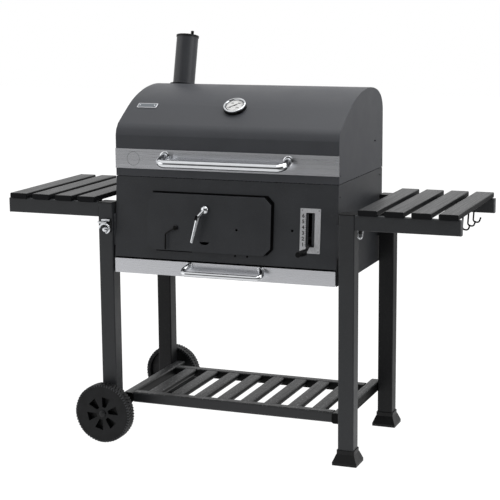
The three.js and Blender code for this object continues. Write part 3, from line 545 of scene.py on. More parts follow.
def refined(
    node: str,
    bevel: float = 0.6 * MM,
    segments: int = 2,
    sharp: float = 38.0,
    pick: Optional[Callable[[Edge], bool]] = None,
) -> Item:
    """Copy a frame node, merge its loose triangles and round its edges.

    Args:
        node: the node to copy.
        bevel: how far the rounding reaches from each edge.
        segments: faces across the rounding.
        sharp: edges folded more than this many degrees are rounded and stay crisp.
        pick: says which of those edges to round, past what short neighbours allow; all of them, as far as
            short edges allow, if absent.

    Returns:
        The new object.
    """
    bm = bmesh.new()
    bm.from_mesh(NODES[node].data)
    bmesh.ops.remove_doubles(bm, verts=bm.verts, dist=1e-5)
    bmesh.ops.dissolve_limit(bm, angle_limit=math.radians(0.6), verts=bm.verts, edges=bm.edges)
    if bevel:
        folds = [e for e in bm.edges if e.is_manifold and e.calc_face_angle(0.0) > math.radians(sharp)]
        edges = [e for e in folds if pick is None or pick(e)]
        bmesh.ops.bevel(
            bm, geom=edges, offset=bevel, offset_type="OFFSET", segments=segments, profile=0.5,
            affect="EDGES", clamp_overlap=pick is None,
        )
    return smoothed(as_object(written(bm, node), f"{node}_finished"), sharp)


def bent_route(corners: Sequence[Sequence[float]], bend: float, steps: int = 7) -> list[Vector]:
    """Round off the corners of a route.

    Args:
        corners: the route's corners.
        bend: bend radius.
        steps: points on each bend, less one.

    Returns:
        Points along the route.
    """
    at = [Vector(c) for c in corners]
    route = [at[0]]
    for before, here, after in zip(at, at[1:], at[2:]):
        inward = (before - here).normalized()
        outward = (after - here).normalized()
        half = inward.angle(outward) / 2
        reach = bend / math.tan(half)
        centre = here + (inward + outward).normalized() * (bend / math.sin(half))
        start = here + inward * reach - centre
        end = here + outward * reach - centre
        axis = start.cross(end).normalized()
        sweep = start.angle(end)
        for k in range(steps + 1):
            route.append(centre + Matrix.Rotation(sweep * k / steps, 3, axis) @ start)
    route.append(at[-1])
    return route


def tube(
    name: str,
    route: Sequence[Vector],
    radius: Sequence[float] | float,
    sides: int = 20,
    matrix: Optional[Matrix] = None,
) -> Item:
    """Sweep a round bar along a route, with slightly rounded ends.

    Args:
        name: object name.
        route: points along the middle of the bar.
        radius: the bar's radius, or one radius for each point.
        sides: faces round the bar.
        matrix: where the bar goes.

    Returns:
        The new object.
    """
    radii = list(radius) if isinstance(radius, (list, tuple)) else [radius] * len(route)
    points = [Vector(p) for p in route]
    first = (points[1] - points[0]).normalized()
    last = (points[-1] - points[-2]).normalized()
    r0, r1 = radii[0], radii[-1]
    start = [points[0], points[0] + first * r0 * 0.25]
    end = [points[-1] - last * r1 * 0.25, points[-1]]
    points = [*start, *points[1:-1], *end]
    radii = [r0 * 0.75, r0, *radii[1:-1], r1, r1 * 0.75]
    bm = bmesh.new()
    up = Vector((0, 0, 1)) if abs(first.z) < 0.9 else Vector((1, 0, 0))
    side = first.cross(up).normalized()
    turns = [2 * math.pi * k / sides for k in range(sides)]
    rings = []
    for i, point in enumerate(points):
        before = points[max(i - 1, 0)]
        after = points[min(i + 1, len(points) - 1)]
        along = (after - before).normalized()
        side = (side - along * side.dot(along)).normalized()
        other = along.cross(side)
        spots = [point + (side * math.cos(a) + other * math.sin(a)) * radii[i] for a in turns]
        rings.append([bm.verts.new(spot) for spot in spots])
    for a, b in zip(rings, rings[1:]):
        for k in range(sides):
            n = (k + 1) % sides
            bm.faces.new((a[k], a[n], b[n], b[k]))
    bm.faces.new(rings[0][::-1])
    bm.faces.new(rings[-1])
    return from_bmesh(bm, name, matrix, 50.0)


def lathed(
    name: str, profile: Sequence[tuple[float, float]], matrix: Matrix, sides: int = 56, sharp: float = 32.0
) -> Item:
    """Turn a profile round local Z into a closed body.

    Args:
        name: object name.
        profile: radius and height pairs; its ends lie on the axis, or the profile closes on itself.
        matrix: where the body goes.
        sides: faces round the body.
        sharp: angle in degrees above which edges stay sharp.

    Returns:
        The new object.
    """
    bm = bmesh.new()
    turns = [2 * math.pi * k / sides for k in range(sides)]
    rings = []
    for r, z in profile:
        spots = [(0, 0, z)] if r < 1e-6 else [(r * math.cos(a), r * math.sin(a), z) for a in turns]
        rings.append([bm.verts.new(spot) for spot in spots])
    pairs = list(zip(rings, rings[1:]))
    if len(rings[0]) > 1:
        pairs.append((rings[-1], rings[0]))
    for a, b in pairs:
        for k in range(sides):
            n = (k + 1) % sides
            corners = dict.fromkeys((a[k % len(a)], a[n % len(a)], b[n % len(b)], b[k % len(b)]))
            if len(corners) > 2:
                bm.faces.new(list(corners))
    return from_bmesh(bm, name, matrix, sharp)


def plate(
    name: str,
    width: float,
    height: float,
    thick: float,
    corner: float,
    matrix: Matrix,
    bevel: float = 0.4 * MM,
) -> Item:
    """Make a thin plate with round corners in local X, Z; its face looks along local -Y.

    Args:
        name: object name.
        width: size along local X.
        height: size along local Z.
        thick: thickness, from local Y = -thick to 0.
        corner: corner radius.
        matrix: where the plate goes.
        bevel: rounding of the face's edge.

    Returns:
        The new object.
    """
    bm = bmesh.new()
    corner_steps = 5
    rim = []
    for quarter, (sx, sz) in enumerate(((1, 1), (-1, 1), (-1, -1), (1, -1))):
        for k in range(corner_steps + 1):
            a = math.pi / 2 * (quarter + k / corner_steps)
            x = sx * (width / 2 - corner) + corner * math.cos(a)
            z = sz * (height / 2 - corner) + corner * math.sin(a)
            rim.append(bm.verts.new((x, 0, z)))
    made = bmesh.ops.extrude_face_region(bm, geom=[bm.faces.new(rim)])["geom"]
    bmesh.ops.translate(bm, vec=(0, -thick, 0), verts=[v for v in made if isinstance(v, bmesh.types.BMVert)])
    edges = [e for e in bm.edges if all(v.co.y < -thick / 2 for v in e.verts)]
    bmesh.ops.bevel(bm, geom=edges, offset=bevel, segments=2, profile=0.5, affect="EDGES", clamp_overlap=True)
    return from_bmesh(bm, name, matrix, 45.0)


def lettering(name: str, words: Sequence[tuple[str, float, float]], size: float, matrix: Matrix) -> Item:
    """Set plain numerals as thin raised print in local X, Z, facing local -Y.

    Args:
        name: object name.
        words: each numeral with its local X and Z.
        size: letter height.
        matrix: where the print goes.

    Returns:
        The new object.
    """
    bm = bmesh.new()
    for text, x, z in words:
        curve = bpy.data.curves.new(name, "FONT")
        curve.body = text
        curve.size = size
        curve.extrude = 0.05 * MM
        curve.offset = size * 0.03
        curve.align_x = "CENTER"
        curve.align_y = "CENTER"
        curve.resolution_u = 4
        maker = as_object(curve, name)
        mesh = real_mesh(maker)
        mesh.transform(Matrix.Translation((x, 0, z)) @ TO_FRONT)
        bm.from_mesh(mesh)
        bpy.data.objects.remove(maker)
        bpy.data.curves.remove(curve)
        bpy.data.meshes.remove(mesh)
    bm.transform(matrix)
    return as_object(written(bm, name), name)


def joined(name: str, pieces: Sequence[Item]) -> Item:
    """Merge several pieces of one finish into one object.

    Args:
        name: name of the result.
        pieces: the pieces; they are removed.

    Returns:
        The merged object.
    """
    with bpy.context.temp_override(
        active_object=pieces[0], object=pieces[0], selected_objects=pieces, selected_editable_objects=pieces
    ):
        bpy.ops.object.join()
    pieces[0].name = name
    return pieces[0]


def skinned(name: str, rows: Sequence[Sequence[Vector]]) -> Item:
    """Close four rows of points into a bar with flat ends.

    Args:
        name: object name.
        rows: the bar's long edges, in order round it.

    Returns:
        The new object.
    """
    bm = bmesh.new()
    edges = [[bm.verts.new(spot) for spot in row] for row in rows]
    for one, two in zip(edges, edges[1:] + edges[:1]):
        for i in range(len(one) - 1):
            bm.faces.new((one[i], one[i + 1], two[i + 1], two[i]))
    for i in (0, -1):
        bm.faces.new([edge[i] for edge in edges])
    return from_bmesh(bm, name)


# ---------------------------------------------------------------- geometry node trees
class NodeMaker:
    """A Geometry Nodes tree with named inputs, run once on a base mesh to give a plain mesh."""

    def __init__(self, name: str, **inputs: str) -> None:
        """Start a tree.

        Args:
            name: the tree's name.
            inputs: type of each input, after the geometry and before the finish.
        """
        self.tree = bpy.data.node_groups.new(name, "GeometryNodeTree")
        face = self.tree.interface
        face.new_socket(name="Geometry", in_out="OUTPUT", socket_type="NodeSocketGeometry")
        self.ids = {}
        for label, kind in {"Geometry": "Geometry", **inputs, "Finish": "Material"}.items():
            made = face.new_socket(name=label, in_out="INPUT", socket_type=f"NodeSocket{kind}")
            self.ids[label] = made.identifier
        self.given = add(self.tree, "NodeGroupInput").outputs

    def part(self, kind: str, inputs: Optional[dict] = None, **settings: object) -> Socket:
        """Add one node and return its first output."""
        return add(self.tree, kind, inputs, **settings).outputs[0]

    def end(self, shape: Socket) -> None:
        """Finish the tree with real meshes in one material."""
        real = self.part("GeometryNodeRealizeInstances", {0: shape})
        dressed = self.part("GeometryNodeSetMaterial", {"Geometry": real, "Material": self.given["Finish"]})
        add(self.tree, "NodeGroupOutput", {0: dressed})

    def run(
        self, name: str, finish: Finish, base: Optional[Mesh] = None, sharp: float = 50.0, **values: object
    ) -> Item:
        """Run the tree on a base mesh.

        Args:
            name: name of the new object.
            finish: its finish.
            base: the mesh that goes in; a single point if absent.
            sharp: angle in degrees above which edges stay sharp.
            values: input values by name.

        Returns:
            A plain mesh object.
        """
        if base is None:
            base = bpy.data.meshes.new(name)
            base.from_pydata([(0, 0, 0)], [], [])
        maker = as_object(base, name)
        modifier = maker.modifiers.new("maker", "NODES")
        modifier.node_group = self.tree
        for label, value in values.items():
            modifier[self.ids[label]] = value
        modifier[self.ids["Finish"]] = finish.material()
        return smoothed(baked(maker), sharp)


def stud_maker() -> NodeMaker:
    """Build the tree that sets domed heads with a cross recess on points that carry a facing direction.

    Returns:
        The tree.
    """
    maker = NodeMaker("studs", Radius="Float", Rise="Float", Recess="Float", Seed="Int")
    part, given = maker.part, maker.given
    ball = part("GeometryNodeMeshUVSphere", {"Segments": 16, "Rings": 8, "Radius": given["Radius"]})
    squash = part("ShaderNodeMath", {0: given["Rise"], 1: given["Radius"]}, operation="DIVIDE")
    flat = part("ShaderNodeCombineXYZ", {0: 1.0, 1: 1.0, 2: squash})
    thin, tall, high = (
        part("ShaderNodeMath", {0: given[label], 1: share}, operation="MULTIPLY")
        for label, share in (("Recess", 0.24), ("Rise", 0.5), ("Rise", 0.82))
    )
    size = part("ShaderNodeCombineXYZ", {0: given["Recess"], 1: thin, 2: tall})
    bar = part("GeometryNodeMeshCube", {"Size": size})
    lift = part("ShaderNodeCombineXYZ", {2: high})
    shapes = [part("GeometryNodeTransform", {"Geometry": ball, "Scale": flat})]
    for turn in (0.0, math.pi / 2):
        place = {"Geometry": bar, "Translation": lift, "Rotation": (0.0, 0.0, turn)}
        shapes.append(part("GeometryNodeTransform", place))
    head = add(maker.tree, "GeometryNodeJoinGeometry")
    for shape in reversed(shapes):
        maker.tree.links.new(shape, head.inputs[0])
    facing = part("GeometryNodeInputNamedAttribute", {"Name": "facing"}, data_type="FLOAT_VECTOR")
    aimed = part("FunctionNodeAlignRotationToVector", {"Vector": facing}, axis="Z")
    limits = {2: 0.0, 3: 3.0, "Seed": given["Seed"]}
    chance = add(maker.tree, "FunctionNodeRandomValue", limits, data_type="FLOAT").outputs[1]
    spin = part("FunctionNodeAxisAngleToRotation", {"Axis": (0, 0, 1), "Angle": chance})
    turns = {"Rotation": aimed, "Rotate By": spin}
    turned = part("FunctionNodeRotateRotation", turns, rotation_space="LOCAL")
    spots = {"Points": given["Geometry"], "Instance": head.outputs[0], "Rotation": turned}
    maker.end(part("GeometryNodeInstanceOnPoints", spots))
    return maker


def row_maker() -> NodeMaker:
    """Build the tree that lays a row of equal bars along X, each running along Y.

    Returns:
        The tree.
    """
    sizes = dict.fromkeys(("Pitch", "Width", "Height", "Length", "Corner"), "Float")
    maker = NodeMaker("rows", Count="Int", **sizes, Place="Vector", Turn="Vector")
    part, given = maker.part, maker.given
    outline = part(
        "GeometryNodeCurvePrimitiveQuadrilateral", {"Width": given["Width"], "Height": given["Height"]}
    )
    rounding = {"Curve": outline, "Radius": given["Corner"], "Count": 3, "Limit Radius": True}
    soft = part("GeometryNodeFilletCurve", rounding, mode="POLY")
    ends = [part("ShaderNodeMath", {0: given["Length"], 1: k}, operation="MULTIPLY") for k in (-0.5, 0.5)]
    near, far = (part("ShaderNodeCombineXYZ", {1: y}) for y in ends)
    run = part("GeometryNodeCurvePrimitiveLine", {"Start": near, "End": far})
    upright = part("GeometryNodeSetCurveNormal", {0: run}, mode="Z_UP")
    bar = part("GeometryNodeCurveToMesh", {"Curve": upright, "Profile Curve": soft, "Fill Caps": True})
    offset = part("ShaderNodeCombineXYZ", {0: given["Pitch"]})
    line = part("GeometryNodeMeshLine", {"Count": given["Count"], "Offset": offset}, mode="OFFSET")
    gaps = part("ShaderNodeMath", {0: given["Count"], 1: 1.0}, operation="SUBTRACT")
    span = part("ShaderNodeMath", {0: gaps, 1: given["Pitch"]}, operation="MULTIPLY")
    back = part("ShaderNodeMath", {0: span, 1: -0.5}, operation="MULTIPLY")
    shift = part("ShaderNodeCombineXYZ", {0: back})
    centred = part("GeometryNodeTransform", {"Geometry": line, "Translation": shift})
    bars = part("GeometryNodeInstanceOnPoints", {"Points": centred, "Instance": bar})
    turned = part("GeometryNodeTransform", {"Geometry": bars, "Rotation": given["Turn"]})
    maker.end(part("GeometryNodeTransform", {"Geometry": turned, "Translation": given["Place"]}))
    return maker


def ring_maker() -> NodeMaker:
    """Build the tree that sets equal blocks round a ring in local X, Y.

    Returns:
        The tree.
    """
    sizes = dict.fromkeys(("Radius", "Long", "Wide", "Tall", "Phase", "Start"), "Float")
    maker = NodeMaker("rings", Count="Int", **sizes, Place="Vector", Turn="Vector")
    part, given = maker.part, maker.given
    circle = part("GeometryNodeMeshCircle", {"Vertices": given["Count"], "Radius": given["Radius"]})
    number = part("GeometryNodeInputIndex")
    swept = part("ShaderNodeMath", {0: number, 1: 2 * math.pi}, operation="MULTIPLY")
    angle = part("ShaderNodeMath", {0: swept, 1: given["Count"]}, operation="DIVIDE")
    size = part("ShaderNodeCombineXYZ", {0: given["Long"], 1: given["Wide"], 2: given["Tall"]})
    block = part("GeometryNodeMeshCube", {"Size": size})
    after = {0: angle, 1: given["Start"]}
    wanted = part("FunctionNodeCompare", after, data_type="FLOAT", operation="GREATER_EQUAL")
    around, phase = (part("ShaderNodeCombineXYZ", {2: turn}) for turn in (angle, given["Phase"]))
    spots = {"Points": circle, "Selection": wanted, "Instance": block, "Rotation": around}
    blocks = part("GeometryNodeInstanceOnPoints", spots)
    begun = part("GeometryNodeTransform", {"Geometry": blocks, "Rotation": phase})
    place = {"Geometry": begun, "Translation": given["Place"], "Rotation": given["Turn"]}
    maker.end(part("GeometryNodeTransform", place))
    return maker


STUDS = stud_maker()
ROWS = row_maker()
RINGS = ring_maker()


def studs(
    name: str,
    spots: Sequence[tuple[Sequence[float], Sequence[float]]],
    radius: float,
    rise: float,
    finish: Finish,
    recess: float = 0.0,
    seed: int = 1,
) -> Item:
    """Set screw or rivet heads.

    Args:
        name: object name.
        spots: each head's place and the direction it faces.
        radius: head radius.
        rise: how far the dome stands out.
        finish: the heads' finish.
        recess: width of the cross recess, 0 for a rivet.
        seed: fixed seed of the heads' turn.

    Returns:
        The new object.
    """
    mesh = bpy.data.meshes.new(name)
    mesh.from_pydata([tuple(p) for p, _ in spots], [], [])
    facing = mesh.attributes.new("facing", "FLOAT_VECTOR", "POINT")
    for i, (_, direction) in enumerate(spots):
        facing.data[i].vector = Vector(direction).normalized()
    return STUDS.run(name, finish, mesh, 40.0, Radius=radius, Rise=rise, Recess=max(recess, 1e-5), Seed=seed)


# ---------------------------------------------------------------- sub-assemblies
@dataclass
class Piece:
    """One finished piece with the body it moves with."""

    item: Item
    body: str
    finish: Finish
    slot: str
    stands_for: tuple[str, ...] = ()


@dataclass
class SubAssembly:
    """A group of pieces that are built and dressed together."""

    pieces: list[Piece] = field(default_factory=list, init=False)

    def keep(self, item: Item, body: str, finish: Finish, slot: str, *nodes: str) -> None:
        """Remember a piece for dressing.

        Args:
            item: the piece.
            body: the body that it rides on.
            finish: its finish.
            slot: the record's material slot.
            nodes: frame nodes that it stands for.
        """
        self.pieces.append(Piece(item, body, finish, slot, nodes))

    def keep_node(self, node: str, body: str, finish: Finish, slot: str, *rounding: float) -> None:
        """Copy a frame node, round its edges and remember the copy in the node's place.

        Args:
            node: the frame node.
            body: the body that it rides on.
            finish: its finish.
            slot: the record's material slot.
            rounding: what refined takes after the node.
        """
        self.keep(refined(node, *rounding), body, finish, slot, node)

    def build(self) -> None:
        """Make the meshes."""
        raise NotImplementedError

    def dress(self) -> None:
        """Give each piece its finish and its place in the frame."""
        for piece in self.pieces:
            mesh = piece.item.data
            mesh.materials.clear()
            mesh.materials.append(piece.finish.material())
            for polygon in mesh.polygons:
                polygon.material_index = 0
            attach(piece.item, piece.body)
            if piece.stands_for:
                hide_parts(*piece.stands_for)
            faces, look = len(mesh.polygons), piece.finish.name
            log.info("%s on %s: %d faces, %s", piece.item.name, piece.body, faces, look)


@dataclass
class Undercarriage(SubAssembly):
    """Four tube legs with plugs, two flared feet and two wheels on an axle."""

    tube_bevel: float = 0.7 * MM
    cap_bevel: float = 0.9 * MM
    foot_bevel: float = 2.2 * MM
    wheel_bevel: float = 0.7 * MM
    axle_bevel: float = 0.4 * MM
    lug_count: int = 64
    lug_long: float = 6.4 * MM
    lug_width: float = 4.0 * MM
    lug_tall: float = 2.6 * MM
    lug_inset: float = 4.2 * MM
    bolt_radius: float = 5.5 * MM
    bolt_heights: tuple[float, ...] = (0.130, 0.640, 0.740)

    def build(self) -> None:
        """Make the legs, feet, wheels and bolts."""
        bolts = []
        for end in End:
            # the rear legs take the darker copy of the frame paint, painted shade
            paint = FRAME_PAINT if end is End.FRONT else SHADED_FRAME_PAINT
            for side in Side:
                name = f"{end.value}_{side.value}"
                self.keep_node(f"leg_{name}", "trolley", paint, "frame_paint", self.tube_bevel, 2, 50)
                self.keep_node(f"leg_cap_{name}", "trolley", PLASTIC, "black_plastic", self.cap_bevel)
                low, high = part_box(f"leg_{name}")
                bolts += [(((low.x + high.x) / 2, high.y, z), (0, 1, 0)) for z in self.bolt_heights]
            left, right = f"leg_plug_{end.value}_left", f"foot_{end.value}_right"
            self.keep_node(left, "trolley", PLASTIC, "black_plastic", self.cap_bevel)
            self.keep_node(right, "trolley", PLASTIC, "black_plastic", self.foot_bevel, 3, 20)
            self.build_wheel(end)
        heads = studs("leg_bolts", bolts, self.bolt_radius, 3 * MM, BLACK_SCREW, 5 * MM, 3)
        self.keep(heads, "trolley", BLACK_SCREW, "black_wire")
        self.keep_node("axle", "trolley", BLACK_SCREW, "chrome", self.axle_bevel, 2, 34)

    def build_wheel(self, end: End) -> None:
        """Make one wheel.

        Args:
            end: which wheel.
        """
        node = f"wheel_{end.value}"
        body = f"{end.value}_wheel"
        self.keep_node(node, body, WHEEL_PLASTIC, "wheel_plastic", self.wheel_bevel, 2, 30)
        low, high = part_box(node)
        middle = (low + high) / 2
        radius = (high.z - low.z) / 2
        for where, face, turn in (("outer", low.y, math.pi / 2), ("inner", high.y, -math.pi / 2)):
            lugs = RINGS.run(
                f"{body}_lugs_{where}", LUG_RUBBER, Count=self.lug_count, Radius=radius - self.lug_inset,
                Long=self.lug_long, Wide=self.lug_width, Tall=self.lug_tall, Phase=0.0, Start=0.0,
                Place=(middle.x, face, middle.z), Turn=(turn, 0.0, 0.0),
            )
            self.keep(lugs, body, LUG_RUBBER, "wheel_plastic")


@dataclass
class Shelf(SubAssembly):
    """Lower rack: two side tubes, two rails and a row of slats."""

    slat_count: int = 8
    slat_width: float = 44.7 * MM
    slat_height: float = 18 * MM
    slat_corner: float = 7 * MM
    rail_tube: float = 34 * MM
    rear_rail_height: float = 29 * MM
    rail_corner: float = 6 * MM

    def build(self) -> None:
        """Make the side tubes, rails and slats."""
        for side in Side:
            self.build_side(f"shelf_side_{side.value}")
        low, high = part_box("shelf_rack")
        length_x, length_y = high.x - low.x, high.y - low.y
        middle = (low + high) / 2
        half = self.rail_tube / 2
        for end, y, tall, finish in (
            (End.FRONT, low.y + half, self.rail_tube, RAIL_COAT),
            (End.REAR, high.y - half, self.rear_rail_height, SHELF_COAT),
        ):
            rail = ROWS.run(
                f"shelf_rail_{end.value}", finish, Count=1, Pitch=0.0, Width=self.rail_tube, Height=tall,
                Length=length_x, Corner=self.rail_corner, Place=(middle.x, y, high.z - tall / 2),
                Turn=(0.0, 0.0, math.pi / 2),
            )
            self.keep(rail, "trolley", finish, "shelf_slat", "shelf_rack")
        slats = ROWS.run(
            "shelf_slats", SHELF_COAT, Count=self.slat_count, Pitch=length_x / (self.slat_count + 0.45),
            Width=self.slat_width, Height=self.slat_height, Length=length_y - 2 * self.rail_tube + 2 * MM,
            Corner=self.slat_corner, Place=(middle.x, middle.y, high.z - 1 * MM - self.slat_height / 2),
            Turn=(0.0, 0.0, 0.0),
        )
        self.keep(slats, "trolley", SHELF_COAT, "shelf_slat", "shelf_rack")

    def build_side(self, node: str) -> None:
        """Make one side tube with a plate on each end.

        Args:
            node: the tube's frame node.
        """
        self.keep_node(node, "trolley", SHELF_COAT, "shelf_slat", 0.7 * MM, 2, 50)
        low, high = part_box(node)
        middle = (low + high) / 2
        wide = high.x - low.x - 5 * MM
        for y, turn in ((low.y + 1 * MM, 0.0), (high.y - 1 * MM, math.pi)):
            place = Matrix.Translation((middle.x, y, middle.z)) @ Matrix.Rotation(turn, 4, "Z")
            end_plate = plate(f"{node}_end", wide, wide, 1 * MM, 2 * MM, place, 0.3 * MM)
            self.keep(end_plate, "trolley", SHELF_COAT, "shelf_slat")


@dataclass
class SideTable(SubAssembly):
    """One side table: two aprons with capped ends and four slats."""

    side: Side = Side.LEFT
    slat_count: int = 4
    apron_bevel: float = 0.6 * MM
    slat_bevel: float = 1.2 * MM
    plug_thick: float = 3.2 * MM

    def build(self) -> None:
        """Make the aprons, their end plugs and the slats."""
        prefix = f"table_{self.side.value}"
        out = 1 if self.side is Side.RIGHT else -1
        for end in End:
            node = f"{prefix}_apron_{end.value}"
            self.keep_node(node, "trolley", FRAME_PAINT, "frame_paint", self.apron_bevel, 2, 50)
            low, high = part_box(node)
            middle = (low + high) / 2
            tip = high.x if out > 0 else low.x
            wide, tall = high.y - low.y, high.z - low.z
            place = Matrix.Translation((tip, middle.y, middle.z)) @ Matrix.Rotation(out * math.pi / 2, 4, "Z")
            plug = plate(f"{node}_plug", wide, tall, self.plug_thick, 1.5 * MM, place, 0.9 * MM)
            # the end plugs take the paler plastic, partly painted light
            self.keep(plug, "trolley", PALE_PLUG_PLASTIC, "black_plastic")
        for number in range(1, self.slat_count + 1):
            node = f"{prefix}_slat_{number}"
            self.keep_node(node, "trolley", SLAT_STAIN, "table_slat", self.slat_bevel, 2, 50)
        if self.side is Side.LEFT:
            self.build_batten()

    def build_batten(self) -> None:
        """Make a dark batten under the left table's slats, in the darker shade paint; it stands in for the
        shade seen through the gaps between the slats.
        """
        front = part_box("table_left_apron_front")
        first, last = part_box("table_left_slat_1"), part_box(f"table_left_slat_{self.slat_count}")
        left, right = min(first[0].x, last[0].x) + 6 * MM, max(first[1].x, last[1].x) - 6 * MM
        place = Matrix.Translation(((left + right) / 2, front[1].y + 44 * MM, first[0].z - 9.3 * MM))
        batten = plate("table_left_batten", right - left, 18 * MM, 16 * MM, 2 * MM, place, 1 * MM)
        self.keep(batten, "trolley", SHADED_FRAME_PAINT, "frame_paint")


@dataclass
class Fittings(SubAssembly):
    """Tool hooks, bottle opener and utility loop."""

    hook_wire: float = 2.5 * MM
    hook_bend: float = 8.2 * MM
    loop_wire: float = 2.9 * MM
    loop_bend: float = 7 * MM
    opener_z: float = 702.4 * MM

    def build(self) -> None:
        """Make the hooks, opener and loop."""
        for number in (1, 2, 3):
            node = f"tool_hook_{number}"
            low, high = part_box(node)
            x, y, top = high.x - 16 * MM, (low.y + high.y) / 2, high.z
            corners = ((-8, 0), (-10.5, -41.5), (7.5, -43.5), (13, -27))
            route = bent_route([(x + a * MM, y, top + c * MM) for a, c in corners], self.hook_bend)
            wire = tube(f"{node}_wire", route, self.hook_wire, 14)
            self.keep(wire, "trolley", WIRE_COAT, "black_wire", node)
        self.build_opener()
        self.build_loop()

    def build_opener(self) -> None:
        """Make the bottle opener: screwed base, lip, side wing and a ring round its mouth."""
        low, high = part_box("bottle_opener")
        middle = Matrix.Translation(((low.x + high.x) / 2 - 1 * MM, high.y, self.opener_z))
        at = middle @ Matrix.Diagonal((1.15, 1.0, 1.0, 1.0))
        turns = [math.radians(-70 + 250 * k / 22) for k in range(23)]
        arch = [(1 + 15.5 * math.cos(a), -15, -8 + 15 * math.sin(a)) for a in turns]
        ribs = (  # corners and radii in millimetres, then the faces round the rib
            ("opener_lip", ((-10, -9, 18), (4, -9.5, 18.6), (15, -9, 18)), (3.6, 4.2, 3.6), 16),
            ("opener_lip_root", ((3, 0, 17), (3, -9, 18)), (5, 5), 16),
            ("opener_wing", ((-19, -15.5, 12), (-8, -16, 11), (6, -15.5, 10)), (3.2, 3.6, 3.4), 16),
            ("opener_wing_root", ((-2, -1, 10), (-2, -15, 10.5)), (3, 3), 16),
            ("opener_ring", arch, [2.7] * len(arch), 14),
            ("opener_foot", ((6, -1, -19), (6, -13, -20), (9, -17, -20)), (4, 4.2, 4.2), 16),
        )
        back = at @ Matrix.Translation((4 * MM, -0.2 * MM, 0))
        base = plate("opener_base", 26 * MM, 44 * MM, 1.6 * MM, 6 * MM, back, 0.6 * MM)
        parts = []
        for name, corners, radii, sides in ribs:
            route = [Vector(corner) * MM for corner in corners]
            parts.append(tube(name, route, [r * MM for r in radii], sides, at))
        profile = [(0, -1), (8, 0), (9.2, 2), (8.8, 5), (6.6, 8), (3.4, 9.4), (0, 9.8)]
        seat = at @ Matrix.Translation((0, -4 * MM, -12 * MM))
        parts.append(lathed("opener_bowl", profile, seat @ TO_FRONT @ IN_MM, 32))
        self.keep(joined("bottle_opener_cast", parts), "trolley", CHROME, "chrome", "bottle_opener")
        self.keep(base, "trolley", PLASTIC, "black_plastic")

    def build_loop(self) -> None:
        """Make the bright loop with its thicker resting side and the black clip that holds it."""
        low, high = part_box("utility_loop")
        x, y, top = (low.x + high.x) / 2 - 1 * MM, (low.y + high.y) / 2, high.z
        corners = [(x + a * MM, y, top + c * MM) for a, c in ((-8, 0), (-7, -24), (5, -24.3), (9, 0))]
        route = bent_route(corners, self.loop_bend, 8)
        span = len(route) - 1
        radius = [self.loop_wire * (1.15 if 0.1 < k / span < 0.6 else 0.72) for k in range(span + 1)]
        self.keep(tube("utility_loop_wire", route, radius, 16), "trolley", CHROME, "chrome", "utility_loop")
        place = Matrix.Translation((x, y + 6 * MM, top - 6 * MM))
        clip = plate("utility_loop_clip", 15 * MM, 11 * MM, 2 * MM, 2 * MM, place, 0.5 * MM)
        self.keep(clip, "trolley", PLASTIC, "black_plastic")


PANEL_LEAN = math.radians(5.017)
PANEL_FOOT_Y = -220.404 * MM
PANEL_FOOT_Z = 605 * MM
FOLD_LENGTH = 0.15
FOLD_EDGES = 8


def panel_frame(x: float = 0.0, up: float = 0.0, out: float = 0.0) -> Matrix:
    """Give the place and lean of a spot on the firebox's front panel.

    Args:
        x: place along X.
        up: distance up the panel's face from its foot.
        out: distance out of the face.

    Returns:
        A matrix whose Z runs up the panel and whose -Y points out of it.
    """
    foot = Matrix.Translation((x, PANEL_FOOT_Y, PANEL_FOOT_Z))
    return foot @ Matrix.Rotation(-PANEL_LEAN, 4, "X") @ Matrix.Translation((0, -out, up))


def outward(place: Matrix) -> Vector:
    """Return the way that a plate's face looks at a place."""
    return place.to_3x3() @ Vector((0, -1, 0))


def long_fold(edge: Edge) -> bool:
    """Say whether an edge is a long fold of the sheet and not the rim of a small hole."""
    return edge.calc_length() > FOLD_LENGTH and all(len(v.link_edges) < FOLD_EDGES for v in edge.verts)


